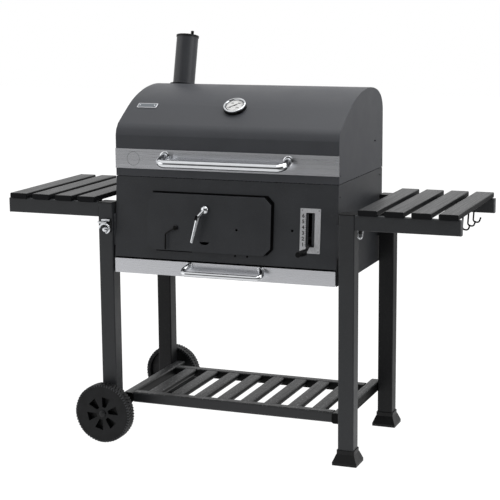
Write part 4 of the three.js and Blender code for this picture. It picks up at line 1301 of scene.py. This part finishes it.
@dataclass
class Firebox(SubAssembly):
    """Firebox shell with its leaning front, scale, ember tray, lever and grates."""

    shell_bevel: float = 0.6 * MM
    wall_inset: float = 5.7 * MM
    screw_radius: float = 3.6 * MM
    scale_x: float = 277.68 * MM
    scale_up: float = 113.85 * MM
    numeral_x: float = -22.6 * MM
    numeral_top: float = 45 * MM
    numeral_step: float = 17.4 * MM
    numeral_size: float = 15.5 * MM

    def build(self) -> None:
        """Make the shell, its screws, the scale, ember tray, lever and grates."""
        shell = refined("firebox_shell", self.shell_bevel, 2, 30, long_fold)
        self.keep(shell, "trolley", BODY_PAINT, "body_paint", "firebox_shell")
        self.build_scale()
        self.build_guard()
        self.build_screws()
        self.keep_node("charcoal_tray", "charcoal_bed", ENAMEL, "enamel", 0.5 * MM)
        self.keep_node("charcoal_lever", "charcoal_bed", WIRE_COAT, "black_wire", 0.5 * MM, 2, 36)
        for side in Side:
            self.keep_node(f"cooking_grate_{side.value}", "trolley", ENAMEL, "enamel", 0.0, 1, 62)

    def build_screws(self) -> None:
        """Make the flush screws under the door and the screws in the side and back walls."""
        places = [panel_frame(x, 24 * MM) for x in (36 * MM, 76 * MM)]
        flush = [(tuple(place.translation), tuple(outward(place))) for place in places]
        feet = studs("door_foot_screws", flush, self.screw_radius, 0.4 * MM, NEAR_BLACK_AND_SHADE, 0.0, 7)
        self.keep(feet, "trolley", NEAR_BLACK_AND_SHADE, "black_wire")
        low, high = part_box("firebox_shell")
        ends = ((high.x - self.wall_inset, 1), (low.x + self.wall_inset, -1))
        sides = ((-0.187, 0.822), (0.236, 0.838), (-0.187, 0.63), (0.236, 0.63))
        back = [(x, z) for x in (-0.33, -0.11, 0.11, 0.33) for z in (0.6, 0.84)]
        spots = [((x, y, z), (d, 0, 0)) for x, d in ends for y, z in sides]
        spots += [((x, high.y - 0.2 * MM, z), (0, 1, 0)) for x, z in back]
        heads = studs("firebox_screws", spots, self.screw_radius, 1.6 * MM, BLACK_SCREW, 3.4 * MM, 7)
        self.keep(heads, "trolley", BLACK_SCREW, "black_wire")

    def build_guard(self) -> None:
        """Make the guard behind the lever slot, two strips with the lever's way between them."""
        strips = []
        for number, (left, right) in enumerate(((-14, -7.4), (4.4, 14))):
            place = panel_frame(self.scale_x + (left + right) / 2 * MM, self.scale_up + 6 * MM, -3.4 * MM)
            wide = (right - left) * MM
            strips.append(plate(f"slot_guard_{number}", wide, 118 * MM, 1 * MM, 0.8 * MM, place, 0.2 * MM))
        self.keep(joined("slot_guard", strips), "trolley", BODY_PAINT, "body_paint")

    def build_scale(self) -> None:
        """Make the height scale with its plain numerals and ticks."""
        self.keep_node("scale_plate", "trolley", SCALE_STEEL, "stainless", 0.3 * MM)
        face = panel_frame(self.scale_x, self.scale_up, 1.9 * MM)
        marks = [(str(6 - i), self.numeral_x, self.numeral_top - i * self.numeral_step) for i in range(6)]
        numerals = lettering("scale_numerals", marks, self.numeral_size, face)
        self.keep(numerals, "trolley", BLACK_INK, "black_plastic")
        place = face @ Matrix.Translation((-15.6 * MM, 0, self.numeral_top - 2.5 * self.numeral_step))
        turn = (place.to_3x3() @ Matrix.Rotation(math.pi / 2, 3, "Y")).to_euler("XYZ")
        ticks = ROWS.run(
            "scale_ticks", BLACK_INK, Count=16, Pitch=self.numeral_step / 3, Width=0.9 * MM, Height=3.6 * MM,
            Length=0.12 * MM, Corner=0.05 * MM, Place=tuple(place.translation), Turn=tuple(turn),
        )
        self.keep(ticks, "trolley", BLACK_INK, "black_plastic")
        corners = [face @ Matrix.Translation((x * MM, 0, z * MM)) for x in (27, -27) for z in (62, -62)]
        rivets = [(tuple(corner.translation), tuple(outward(face))) for corner in corners]
        self.keep(studs("scale_rivets", rivets, 2.4 * MM, 1.1 * MM, ZINC, 0.0, 5), "trolley", ZINC, "chrome")


@dataclass
class FeedDoor(SubAssembly):
    """Front door with its chrome latch and wire vent lever."""

    pan_bevel: float = 1.8 * MM
    door_x_mm: float = -51.22
    door_half_mm: float = 205.75
    door_foot_mm: float = 30.4
    door_top_mm: float = 207.8
    corner_mm: float = 22.0
    # width and thickness of the near-black strip that paints the shadow gap above and right of the door
    shadow_shows_mm: float = 5.5
    shadow_thick_mm: float = 2.0
    latch_lean: float = 0.24

    def build(self) -> None:
        """Make the door pan, the painted shadow round it, the latch and vent lever."""
        door = refined("charcoal_door", self.pan_bevel, 3, 30, self.on_face)
        self.keep(door, "door", BODY_PAINT, "body_paint", "charcoal_door")
        self.build_painted_shadow()
        self.build_wall_shade()
        self.build_latch()
        self.build_vent()

    def on_face(self, edge: Edge) -> bool:
        """Say whether an edge runs round the door's outer face."""
        out = outward(panel_frame())
        heights = [(v.co - panel_frame().translation).dot(out) for v in edge.verts]
        wide = any(abs(f.normal.dot(out)) > 0.9 and f.calc_area() > 0.03 for f in edge.link_faces)
        return min(heights) > 12.4 * MM and wide and edge.calc_length() > 0.02

    def spot(self, x: float, up: float, out: float) -> Matrix:
        """Give a place on the front panel by millimetres from the door's middle, the foot and the face."""
        return panel_frame((self.door_x_mm + x) * MM, up * MM, out * MM)

    def build_painted_shadow(self) -> None:
        """Make the near-black strips of painted shadow above, beside and under the door."""
        lines = []
        for gap in (0.6, self.shadow_shows_mm):
            left, right = self.door_half_mm, self.door_half_mm + gap
            top, foot = self.door_top_mm + gap, self.door_foot_mm
            slope = self.corner_mm - gap * 0.41
            line = [(-left + slope - 8, top), (right - slope, top), (right, top - slope)]
            lines.append([*line, (right, foot + slope), (right - slope + 2, foot + 2)])
        inside, outside = lines
        thick = self.shadow_thick_mm
        rows = [
            [self.spot(x, up, out).translation for x, up in line]
            for line, out in ((inside, 0.3), (outside, 0.3), (outside, thick), (inside, thick))
        ]
        self.keep(skinned("door_painted_shadow", rows), "trolley", NEAR_BLACK_AND_SHADE, "black_plastic")
        # a thin near-black strip under the door's foot, painted shadow
        place = self.spot(88 - self.door_half_mm, self.door_foot_mm - 2.4, 0.05)
        foot = plate("door_foot_painted_shadow", 122 * MM, 3.6 * MM, 0.35 * MM, 1.2 * MM, place, 0.1 * MM)
        self.keep(foot, "trolley", NEAR_BLACK_AND_SHADE, "black_plastic")

    def build_wall_shade(self) -> None:
        """Make the near-black band of painted shade on the door's right wall."""
        half, slope = self.door_half_mm, self.corner_mm
        top, foot = self.door_top_mm, self.door_foot_mm
        line = ((half - slope, top), (half, top - slope), (half, foot + slope), (half - slope, foot))
        ways = ((0.38, 0.92), (0.92, 0.38), (0.92, -0.38), (0.38, -0.92))
        rows = [
            [self.spot(x + a * gap, up + c * gap, out).translation for (x, up), (a, c) in zip(line, ways)]
            for out, gap in ((2.6, 0.1), (11.2, 0.1), (11.2, 0.4), (2.6, 0.4))
        ]
        self.keep(skinned("door_wall_painted_shade", rows), "door", NEAR_BLACK_AND_SHADE, "black_plastic")

    def build_latch(self) -> None:
        """Make the latch: boss, cranked arm, black collar and tapered grip."""
        at = panel_frame(-60.72 * MM, 162.6 * MM, 13 * MM)
        lean = Matrix.Rotation(self.latch_lean, 4, "Y")
        profile = [(0, -16), (3.4, -16), (3.4, 0), (12.2, 0.6), (13, 1.6), (13, 5), (12.4, 8), (10.6, 10.6)]
        profile += [(7.6, 12.6), (4, 13.8), (0, 14.2)]
        spindle = lathed("latch_boss", profile, at @ TO_FRONT @ IN_MM, 40)
        route = [Vector(p) * MM for p in ((0, -8, 0), (-8, -15.5, -11.5), (-15, -22, -22))]
        arm = tube("latch_arm", route, 5.4 * MM, 18, at)
        place = at @ Matrix.Translation(Vector((-24, -24, -62.5)) * MM) @ lean
        profile = [(0, -42), (3.4, -41.6), (4.7, -40.2), (5.1, -37.5), (5.8, -10), (6.8, 25), (7.5, 40.5)]
        profile += [(6.9, 42.6), (0, 43)]
        grip = lathed("latch_grip", profile, place @ IN_MM, 28)
        parts = [spindle, arm, grip, self.cam(at)]
        self.keep(joined("door_latch_chrome", parts), "latch", CHROME, "chrome", "door_latch")
        place = at @ Matrix.Translation(Vector((-16.4, -23.2, -25.5)) * MM) @ lean
        profile = [(0, -7), (7.8, -7), (8.5, -6), (8.5, 5.6), (7.6, 7), (0, 7)]
        collar = lathed("latch_collar", profile, place @ IN_MM, 28)
        self.keep(collar, "latch", NEAR_BLACK_AND_SHADE, "black_plastic")

    def cam(self, at: Matrix) -> Item:
        """Cut the latch's inner cam off the frame's latch.

        Args:
            at: place of the latch on the door.

        Returns:
            The cam.
        """
        cam = refined("door_latch", 0.0)
        bm = bmesh.new()
        bm.from_mesh(cam.data)
        bmesh.ops.bisect_plane(
            bm, geom=[*bm.verts, *bm.edges, *bm.faces], plane_co=at @ Vector((0, 10 * MM, 0)),
            plane_no=at.to_3x3() @ Vector((0, 1, 0)), clear_inner=True,
        )
        bmesh.ops.holes_fill(bm, edges=[e for e in bm.edges if e.is_boundary])
        bm.to_mesh(cam.data)
        bm.free()
        return cam

    def build_vent(self) -> None:
        """Make the bent wire of the vent and its knob."""
        at = panel_frame(-159.42 * MM, 101.5 * MM, 13 * MM)
        corners = [Vector(p) * MM for p in ((0, 4, 0), (0, -9, 0), (-30.5, -9, -19), (-30.5, -9, -68))]
        wire = tube("vent_wire", bent_route(corners, 5 * MM), 2.6 * MM, 14, at)
        profile = [(0, 0.3), (6.8, 0.3), (7.5, 1.1), (7.5, 5), (6.2, 6.4), (0, 6.7)]
        knob = lathed("vent_knob", profile, at @ TO_FRONT @ IN_MM, 28)
        self.keep(joined("vent_lever_wire", [wire, knob]), "vent", WIRE_COAT, "black_wire", "vent_lever")


def bar_handle(
    name: str, root: Vector, corner: tuple[float, float, float, float], radius: float, bend: float
) -> Item:
    """Make a bent bar handle on two turned roses.

    Args:
        name: object name.
        root: middle of the handle on the face that it is fixed to.
        corner: half the grip's length, half the distance between the roots, how far the grip stands off the
            face and how far it hangs below the roots.
        radius: radius of the bar.
        bend: bend radius at the grip's ends.

    Returns:
        The handle as one object.
    """
    half_grip, half_root, reach, droop = corner
    left = [(-half_root, 0, 0), (-half_grip, -reach, -droop)]
    corners = [*left, (half_grip, -reach, -droop), (half_root, 0, 0)]
    route = [root + p for p in bent_route(corners, bend, 10)]
    parts = [tube(name, route, radius, 28)]
    for side in (-1, 1):
        place = Matrix.Translation(root + Vector((side * half_root, 0, 0))) @ TO_FRONT
        r = radius * 1.34
        profile = [(0, 0), (r, 0), (r, 2.2 * MM), (r * 0.93, 3.4 * MM), (r * 0.8, 4 * MM), (0, 4 * MM)]
        parts.append(lathed(f"{name}_rose", profile, place, 36))
    return joined(name, parts)


@dataclass
class AshDrawer(SubAssembly):
    """Ash drawer: enamelled tray, stainless front and a bent bar handle."""

    sheet_bevel: float = 0.4 * MM
    half_grip: float = 136 * MM
    half_root: float = 119 * MM
    reach: float = 40 * MM
    droop: float = 19 * MM
    bar_radius: float = 8.4 * MM
    bend: float = 16 * MM
    root_z: float = 591 * MM

    def build(self) -> None:
        """Make the tray, front and handle."""
        self.keep_node("ash_drawer_tray", "drawer", ENAMEL, "enamel", self.sheet_bevel)
        self.keep_node("ash_drawer_front", "drawer", STAINLESS, "stainless", self.sheet_bevel)
        low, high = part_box("ash_drawer_handle")
        root = Vector(((low.x + high.x) / 2, high.y, self.root_z))
        corner = (self.half_grip, self.half_root, self.reach, self.droop)
        handle = bar_handle("ash_drawer_handle_bar", root, corner, self.bar_radius, self.bend)
        self.keep(handle, "drawer", CHROME, "chrome", "ash_drawer_handle")


@dataclass
class Lid(SubAssembly):
    """Lid shell with its stainless strip, bar handle, badge plate and hinges."""

    shell_bevel: float = 1.3 * MM
    sheet_bevel: float = 0.4 * MM
    half_grip: float = 205 * MM
    half_root: float = 204 * MM
    reach: float = 54 * MM
    droop: float = 16 * MM
    bar_radius: float = 12.3 * MM
    bend: float = 24 * MM
    root_z: float = 925.75 * MM
    badge_width: float = 68 * MM
    badge_height: float = 23 * MM
    badge_thick: float = 1.6 * MM
    badge_x: float = -305 * MM
    badge_y: float = -101 * MM

    def crown(self, x: float, y: float) -> tuple[Vector, Vector]:
        """Find the point and normal of the crown over a spot.

        Args:
            x: place along X.
            y: place along Y.

        Returns:
            The point and the outward normal.
        """
        shell = NODES["lid_shell"]
        hit, point, normal, _ = shell.ray_cast(Vector((x, y, 2.0)), Vector((0, 0, -1)))
        assert hit, "the crown lies under this spot"
        return point, normal

    def build(self) -> None:
        """Make the shell, strip, handle, badge and hinges."""
        shell = refined("lid_shell", self.shell_bevel, 2, 30, self.end_seam)
        self.keep(shell, "lid", LID_PAINT, "lid_paint", "lid_shell")
        self.keep_node("lid_strip", "lid", STAINLESS, "stainless", self.sheet_bevel)
        low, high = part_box("lid_handle")
        root = Vector(((low.x + high.x) / 2, high.y, self.root_z))
        corner = (self.half_grip, self.half_root, self.reach, self.droop)
        handle = bar_handle("lid_handle_bar", root, corner, self.bar_radius, self.bend)
        self.keep(handle, "lid", CHROME, "chrome", "lid_handle")
        self.build_badge()
        self.build_etched_round()
        for side in Side:
            node = f"lid_hinge_{side.value}"
            self.keep_node(node, "trolley", FRAME_PAINT, "frame_paint", self.sheet_bevel)
        low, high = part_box("lid_shell")
        spots = [((x, y, 0.885), (d, 0, 0)) for x, d in ((high.x, 1), (low.x, -1)) for y in (-0.185, 0.25)]
        heads = studs("lid_screws", spots, 2.6 * MM, 1.2 * MM, BLACK_SCREW, 2.4 * MM, 11)
        self.keep(heads, "lid", BLACK_SCREW, "black_wire")

    def end_seam(self, edge: Edge) -> bool:
        """Say whether an edge lies on the outer seam between crown and end plates."""
        low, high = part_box("lid_shell")
        near = min(abs(edge.verts[0].co.x - low.x), abs(edge.verts[0].co.x - high.x)) < 1e-4
        same = abs(edge.verts[0].co.x - edge.verts[1].co.x) < 1e-5
        flat = any(abs(f.normal.x) > 0.99 and f.calc_area() > 0.03 for f in edge.link_faces)
        slot = all(0.94 < v.co.z < 0.97 and 0.1 < v.co.y < 0.26 for v in edge.verts)
        return near and same and flat and not slot

    def build_badge(self) -> None:
        """Make the bare badge plate with its two rivets."""
        point, normal = self.crown(self.badge_x, self.badge_y)
        across = Vector((1, 0, 0))
        turn = Matrix((across, -normal, across.cross(-normal).normalized())).transposed().to_4x4()
        place = Matrix.Translation(point + normal * 0.5 * MM) @ turn
        wide, tall, thick = self.badge_width, self.badge_height, self.badge_thick
        badge = plate("bare_badge_plate", wide, tall, thick, 3 * MM, place, 0.8 * MM)
        self.keep(badge, "lid", STAINLESS, "stainless")
        front = place @ Matrix.Translation((0, -thick, 0))
        rim = 7 * MM
        inset = plate("bare_badge_inset", wide - rim, tall - rim, 0.6 * MM, 2 * MM, front, 0.2 * MM)
        self.keep(inset, "lid", BADGE_STEEL, "stainless")
        spots = [(tuple(place @ Vector((x, -2.2 * MM, 0))), tuple(normal)) for x in (-25 * MM, 25 * MM)]
        self.keep(studs("badge_rivets", spots, 2.2 * MM, 1.0 * MM, CHROME, 0.0, 2), "lid", CHROME, "chrome")

    def build_etched_round(self) -> None:
        """Make the plain etched round on the strip."""
        low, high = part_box("lid_strip")
        face = low.y + 1.2 * MM + 0.05 * MM
        place = Matrix.Translation((low.x + 62 * MM, face, (low.z + high.z) / 2)) @ TO_FRONT
        outer = 22 * MM
        inner = outer - 1.6 * MM
        profile = [(inner, 0), (outer, 0), (outer, 0.25 * MM), (inner, 0.25 * MM)]
        self.keep(lathed("strip_etched_round", profile, place, 64), "lid", ZINC, "stainless")


@dataclass
class Chimney(SubAssembly):
    """Chimney pipe with its damper and knob."""

    sheet_bevel: float = 0.4 * MM
    tilt: float = math.radians(14)
    radius: float = 36.3 * MM
    knob_share: float = 0.44
    damper_place: tuple[float, float, float] = (-306.72 * MM, 229.885 * MM, 1279.534 * MM)

    def build(self) -> None:
        """Make the pipe, damper and knob."""
        self.keep_node("chimney_pipe", "lid", PIPE_PAINT, "body_paint", self.sheet_bevel, 2, 30)
        # the damper takes the darker paint copy that paints shade on the rear legs
        self.keep_node("chimney_damper", "damper", SHADED_FRAME_PAINT, "body_paint", self.sheet_bevel, 2, 30)
        top = Matrix.Translation(self.damper_place) @ Matrix.Rotation(-self.tilt, 4, "X")
        place = top @ Matrix.Translation((self.radius * self.knob_share, 0, 2.3 * MM))
        profile = [(0, 0), (4.2, 0), (4.2, 1.2), (3.2, 2.4), (3.6, 4), (5, 6), (5.2, 8), (5.2, 13.4)]
        profile += [(4.4, 15.4), (2, 16), (0, 16)]
        knob = lathed("damper_knob_turned", profile, place @ IN_MM, 28)
        self.keep(knob, "damper", WIRE_COAT, "black_plastic", "damper_knob")


@dataclass
class Thermometer(SubAssembly):
    """Dial thermometer: chrome case, white dial with plain marks and a black needle."""

    radius_mm: float = 35.6
    dial_rise: float = 10.3 * MM
    tick_ring: float = 24.2 * MM
    numeral_ring: float = 16.2 * MM
    numeral_size: float = 7.0 * MM

    def build(self) -> None:
        """Make the case, dial, marks and needle."""
        turning = next(joint for joint in frame["joints"] if joint["name"] == "needle_turn")
        normal = -Vector(turning["axis"]).normalized()
        across = Vector((1, 0, 0))
        turn = Matrix((across, normal.cross(across), normal)).transposed().to_4x4()
        seat = Matrix.Translation(Vector(turning["pos_m"]) - normal * self.dial_rise) @ turn
        self.build_case(seat @ IN_MM)
        self.keep_node("thermometer_dial", "lid", DIAL_FACE, "dial", 0.0)
        self.build_marks(seat @ Matrix.Translation((0, 0, self.dial_rise + 1.25 * MM)))
        self.keep_node("thermometer_needle", "gauge_needle", NEEDLE_LACQUER, "needle", 0.15 * MM)

    def build_case(self, seat: Matrix) -> None:
        """Make the turned case with its rolled rim, a black ring at its foot that paints the shade under the
        rim, and the stem inside the lid.

        Args:
            seat: place of the case on the crown, Z pointing out, for a shape drawn in millimetres.
        """
        r = self.radius_mm
        wall = [(0, 0.3), (r - 3, 0.3), (r - 3, 8.2), (r - 2.2, 9.1), (r - 0.6, 9.5), (r, 10.3), (r, 13)]
        rim = [(r - 0.8, 14.7), (r - 2.6, 15.5), (r - 4.4, 15.2), (r - 5.8, 13), (r - 6.5, 10), (0, 10)]
        bezel = lathed("thermometer_bezel", wall + rim, seat, 72, 40)
        stem = lathed("thermometer_stem", [(0, -48), (4, -48), (5, -46.5), (5, 0.2), (0, 0.2)], seat, 24)
        # a black ring round the case's foot, painted shade under the rim
        ring = [(r - 2.9, 0.3), (r - 0.2, 0.3), (r + 0.3, 1.2), (r - 0.6, 6.4), (r - 2.9, 7)]
        shade_ring = lathed("thermometer_painted_shade_ring", ring, seat, 56)
        self.keep(shade_ring, "lid", WIRE_COAT, "black_plastic")
        case = joined("thermometer_case_chrome", [bezel, stem])
        self.keep(case, "lid", CHROME, "chrome", "thermometer_case")

    def build_marks(self, face: Matrix) -> None:
        """Make the printed edge ring, ticks and numerals.

        Args:
            face: place of the print on the dial, Z pointing out.
        """
        r = self.radius_mm - 7.4
        profile = [(r - 1.5, -0.1), (r, -0.1), (r, 0.1), (r - 1.5, 0.1)]
        self.keep(lathed("dial_edge_ring", profile, face @ IN_MM, 64), "lid", BLACK_INK, "black_plastic")
        ticks = RINGS.run(
            "dial_ticks", BLACK_INK, Count=36, Radius=self.tick_ring, Long=4.0 * MM, Wide=1.0 * MM,
            Tall=0.12 * MM, Phase=math.radians(-60), Start=math.radians(59), Place=tuple(face.translation),
            Turn=tuple(face.to_3x3().to_euler("XYZ")),
        )
        self.keep(ticks, "lid", BLACK_INK, "black_plastic")
        marks = []
        for i, number in enumerate(("0", "100", "200", "300")):
            a = math.radians(225 - i * 90)
            marks.append((number, self.numeral_ring * math.cos(a), self.numeral_ring * math.sin(a)))
        upright = face @ Matrix.Rotation(-math.pi / 2, 4, "X")
        numerals = lettering("dial_numerals", marks, self.numeral_size, upright)
        self.keep(numerals, "lid", BLACK_INK, "black_plastic")


# ---------------------------------------------------------------- studio
@dataclass
class Lamp:
    """One soft square lamp."""

    name: str
    place: tuple[float, float, float]
    size: float
    power: float


@dataclass
class Studio:
    """Pale floor, soft lamps, white surroundings and the camera."""

    camera_place: tuple[float, float, float] = (1.68605, -4.33636, 1.45991)
    camera_yaw: float = math.radians(21.2384)
    camera_pitch: float = math.radians(10.3792)
    camera_roll: float = math.radians(-0.4493)
    lens: float = 105.705
    aim: tuple[float, float, float] = (0.0, 0.0, 0.65)
    ambient: float = 0.33
    front_dark: float = 0.06
    card_towards: tuple[float, float, float] = (0.97, -0.15, 0.2)
    card_level: float = 0.25
    box_towards: tuple[float, float, float] = (-0.85, -0.5, 0.12)
    box_level: float = 1.5
    floor_half: float = 14.0
    floor_glow: float = 1.25
    floor_glow_share: float = 0.82
    lamps: tuple[Lamp, ...] = (
        Lamp("key_lamp", (4.9, -0.3, 2.3), 3.2, 60.0),
        Lamp("top_lamp", (1.2, 0.1, 4.4), 3.5, 88.0),
    )

    def build(self) -> None:
        """Set up the whole studio."""
        view = bpy.context.scene.view_settings
        view.view_transform = "Standard"
        self.add_world()
        self.add_floor()
        for lamp in self.lamps:
            self.add_lamp(lamp)
        self.add_camera()

    def zones(self, tree: Tree, spans: Sequence[tuple]) -> list[Socket]:
        """Map values onto levels with soft ends.

        Args:
            tree: the world's or the floor's tree.
            spans: each value, the two places on it and the level at each.

        Returns:
            The levels.
        """
        smooth = {"interpolation_type": "SMOOTHSTEP"}
        return [add(tree, "ShaderNodeMapRange", dict(zip(SPAN, span)), **smooth).outputs[0] for span in spans]

    def add_world(self) -> None:
        """Make surroundings that are white behind the object, paler above and darker in front of it."""
        world = bpy.data.worlds.new("studio")
        bpy.context.scene.world = world
        world.use_nodes = True
        tree = world.node_tree
        tree.nodes.clear()
        ray = add(tree, "ShaderNodeLightPath").outputs
        look = add(tree, "ShaderNodeTexCoord").outputs["Generated"]
        towards = add(tree, "ShaderNodeSeparateXYZ", {0: look}).outputs
        at_card, at_box = (
            add(tree, "ShaderNodeVectorMath", {0: look, 1: Vector(way).normalized()}, operation="DOT_PRODUCT")
            for way in (self.card_towards, self.box_towards)
        )
        back, over, card, box = self.zones(tree, (
            (towards[1], -0.75, 0.35, self.front_dark, 1.0),
            (towards[2], 0.3, 0.72, 0.0, 1.0),
            (at_card.outputs["Value"], 0.72, 0.93, 1.0, self.card_level),
            (at_box.outputs["Value"], 0.8, 0.94, 0.0, self.box_level),
        ))
        sky = add(tree, "ShaderNodeMath", {0: back, 1: over}, operation="MAXIMUM").outputs[0]
        carded = add(tree, "ShaderNodeMath", {0: sky, 1: card}, operation="MULTIPLY").outputs[0]
        mirrored = add(tree, "ShaderNodeMath", {0: carded, 1: box}, operation="MAXIMUM").outputs[0]
        bounced = {0: ray["Is Glossy Ray"], 1: ray["Is Transmission Ray"]}
        shiny = add(tree, "ShaderNodeMath", bounced, operation="MAXIMUM").outputs[0]
        unseen = {0: shiny, 2: self.ambient, 3: mirrored}
        soft = add(tree, "ShaderNodeMix", unseen, data_type="FLOAT").outputs[0]
        seen = {0: ray["Is Camera Ray"], 2: soft, 3: 1.0}
        level = add(tree, "ShaderNodeMix", seen, data_type="FLOAT").outputs[0]
        shade = add(tree, "ShaderNodeBackground", {"Color": (1, 1, 1, 1), "Strength": level})
        add(tree, "ShaderNodeOutputWorld", {"Surface": shade.outputs[0]})

    def add_floor(self) -> None:
        """Make the plain pale floor, white where no shadow falls and darker in mirrors."""
        mesh = bpy.data.meshes.new("floor")
        r = self.floor_half
        mesh.from_pydata([(-r, -r, 0), (r, -r, 0), (r, r, 0), (-r, r, 0)], [], [(0, 1, 2, 3)])
        floor = as_object(mesh, "floor")
        material = bpy.data.materials.new("matt_paper_sweep")
        material.use_nodes = True
        tree = material.node_tree
        tree.nodes.clear()
        ray = add(tree, "ShaderNodeLightPath").outputs
        spot = add(tree, "ShaderNodeTexCoord").outputs["Object"]
        place = add(tree, "ShaderNodeSeparateXYZ", {0: spot}).outputs
        fade, rise, fall, right = self.zones(tree, (
            (place[1], -5.0, -2.6, 0.07, 0.95),
            (place[0], -1.3, -1.8, 0.0, 0.36),
            (place[0], -2.4, -3.0, 0.0, 0.3),
            (place[0], 0.5, 1.3, 1.0, 0.3),
        ))
        pool = add(tree, "ShaderNodeMath", {0: rise, 1: fall}, operation="SUBTRACT").outputs[0]
        lit = add(tree, "ShaderNodeMath", {0: fade, 1: pool}, operation="ADD").outputs[0]
        shine = add(tree, "ShaderNodeMath", {0: lit, 1: right}, operation="MULTIPLY").outputs[0]
        matt = add(tree, "ShaderNodeBsdfDiffuse", {"Color": linear("d6d6d4")}).outputs[0]
        white, mirrored = (
            add(tree, "ShaderNodeEmission", {"Color": (1, 1, 1, 1), "Strength": strength}).outputs[0]
            for strength in (self.floor_glow, shine)
        )
        seen = add(tree, "ShaderNodeMixShader", {0: self.floor_glow_share, 1: matt, 2: white}).outputs[0]
        other = add(tree, "ShaderNodeMixShader", {0: ray["Is Glossy Ray"], 1: matt, 2: mirrored}).outputs[0]
        both = add(tree, "ShaderNodeMixShader", {0: ray["Is Camera Ray"], 1: other, 2: seen})
        add(tree, "ShaderNodeOutputMaterial", {"Surface": both.outputs[0]})
        mesh.materials.append(material)

    def add_lamp(self, lamp: Lamp) -> None:
        """Add one lamp that looks at the object.

        Args:
            lamp: the lamp's place, size and power.
        """
        data = bpy.data.lights.new(lamp.name, "AREA")
        data.size = lamp.size
        data.energy = lamp.power
        item = as_object(data, lamp.name)
        item.location = lamp.place
        item.rotation_euler = (Vector(self.aim) - Vector(lamp.place)).to_track_quat("-Z", "Y").to_euler()

    def add_camera(self) -> None:
        """Add the camera at its solved place."""
        cy, sy = math.cos(self.camera_yaw), math.sin(self.camera_yaw)
        cp, sp = math.cos(self.camera_pitch), math.sin(self.camera_pitch)
        forward = Vector((-sy * cp, cy * cp, -sp))
        right = Vector((cy, sy, 0))
        up = right.cross(forward)
        c, s = math.cos(self.camera_roll), math.sin(self.camera_roll)
        right, up = right * c + up * s, up * c - right * s
        data = bpy.data.cameras.new("camera")
        data.lens = self.lens
        data.sensor_width = 36.0
        data.clip_end = 100.0
        item = as_object(data, "camera")
        turn = Matrix((right, up, -forward)).transposed().to_4x4()
        item.matrix_world = Matrix.Translation(self.camera_place) @ turn
        bpy.context.scene.camera = item


def main() -> None:
    """Build, dress and report every sub-assembly, then set up the studio."""
    logging.basicConfig(level=logging.INFO, format="%(name)s: %(message)s")
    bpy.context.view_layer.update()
    assemblies: list[SubAssembly] = [
        Undercarriage(),
        Shelf(),
        SideTable(side=Side.LEFT),
        SideTable(side=Side.RIGHT),
        Fittings(),
        Firebox(),
        FeedDoor(),
        AshDrawer(),
        Lid(),
        Chimney(),
        Thermometer(),
    ]
    for assembly in assemblies:
        assembly.build()
        assembly.dress()
        log.info("%s: %d pieces", type(assembly).__name__, len(assembly.pieces))
    Studio().build()


if __name__ == "__main__":
    main()
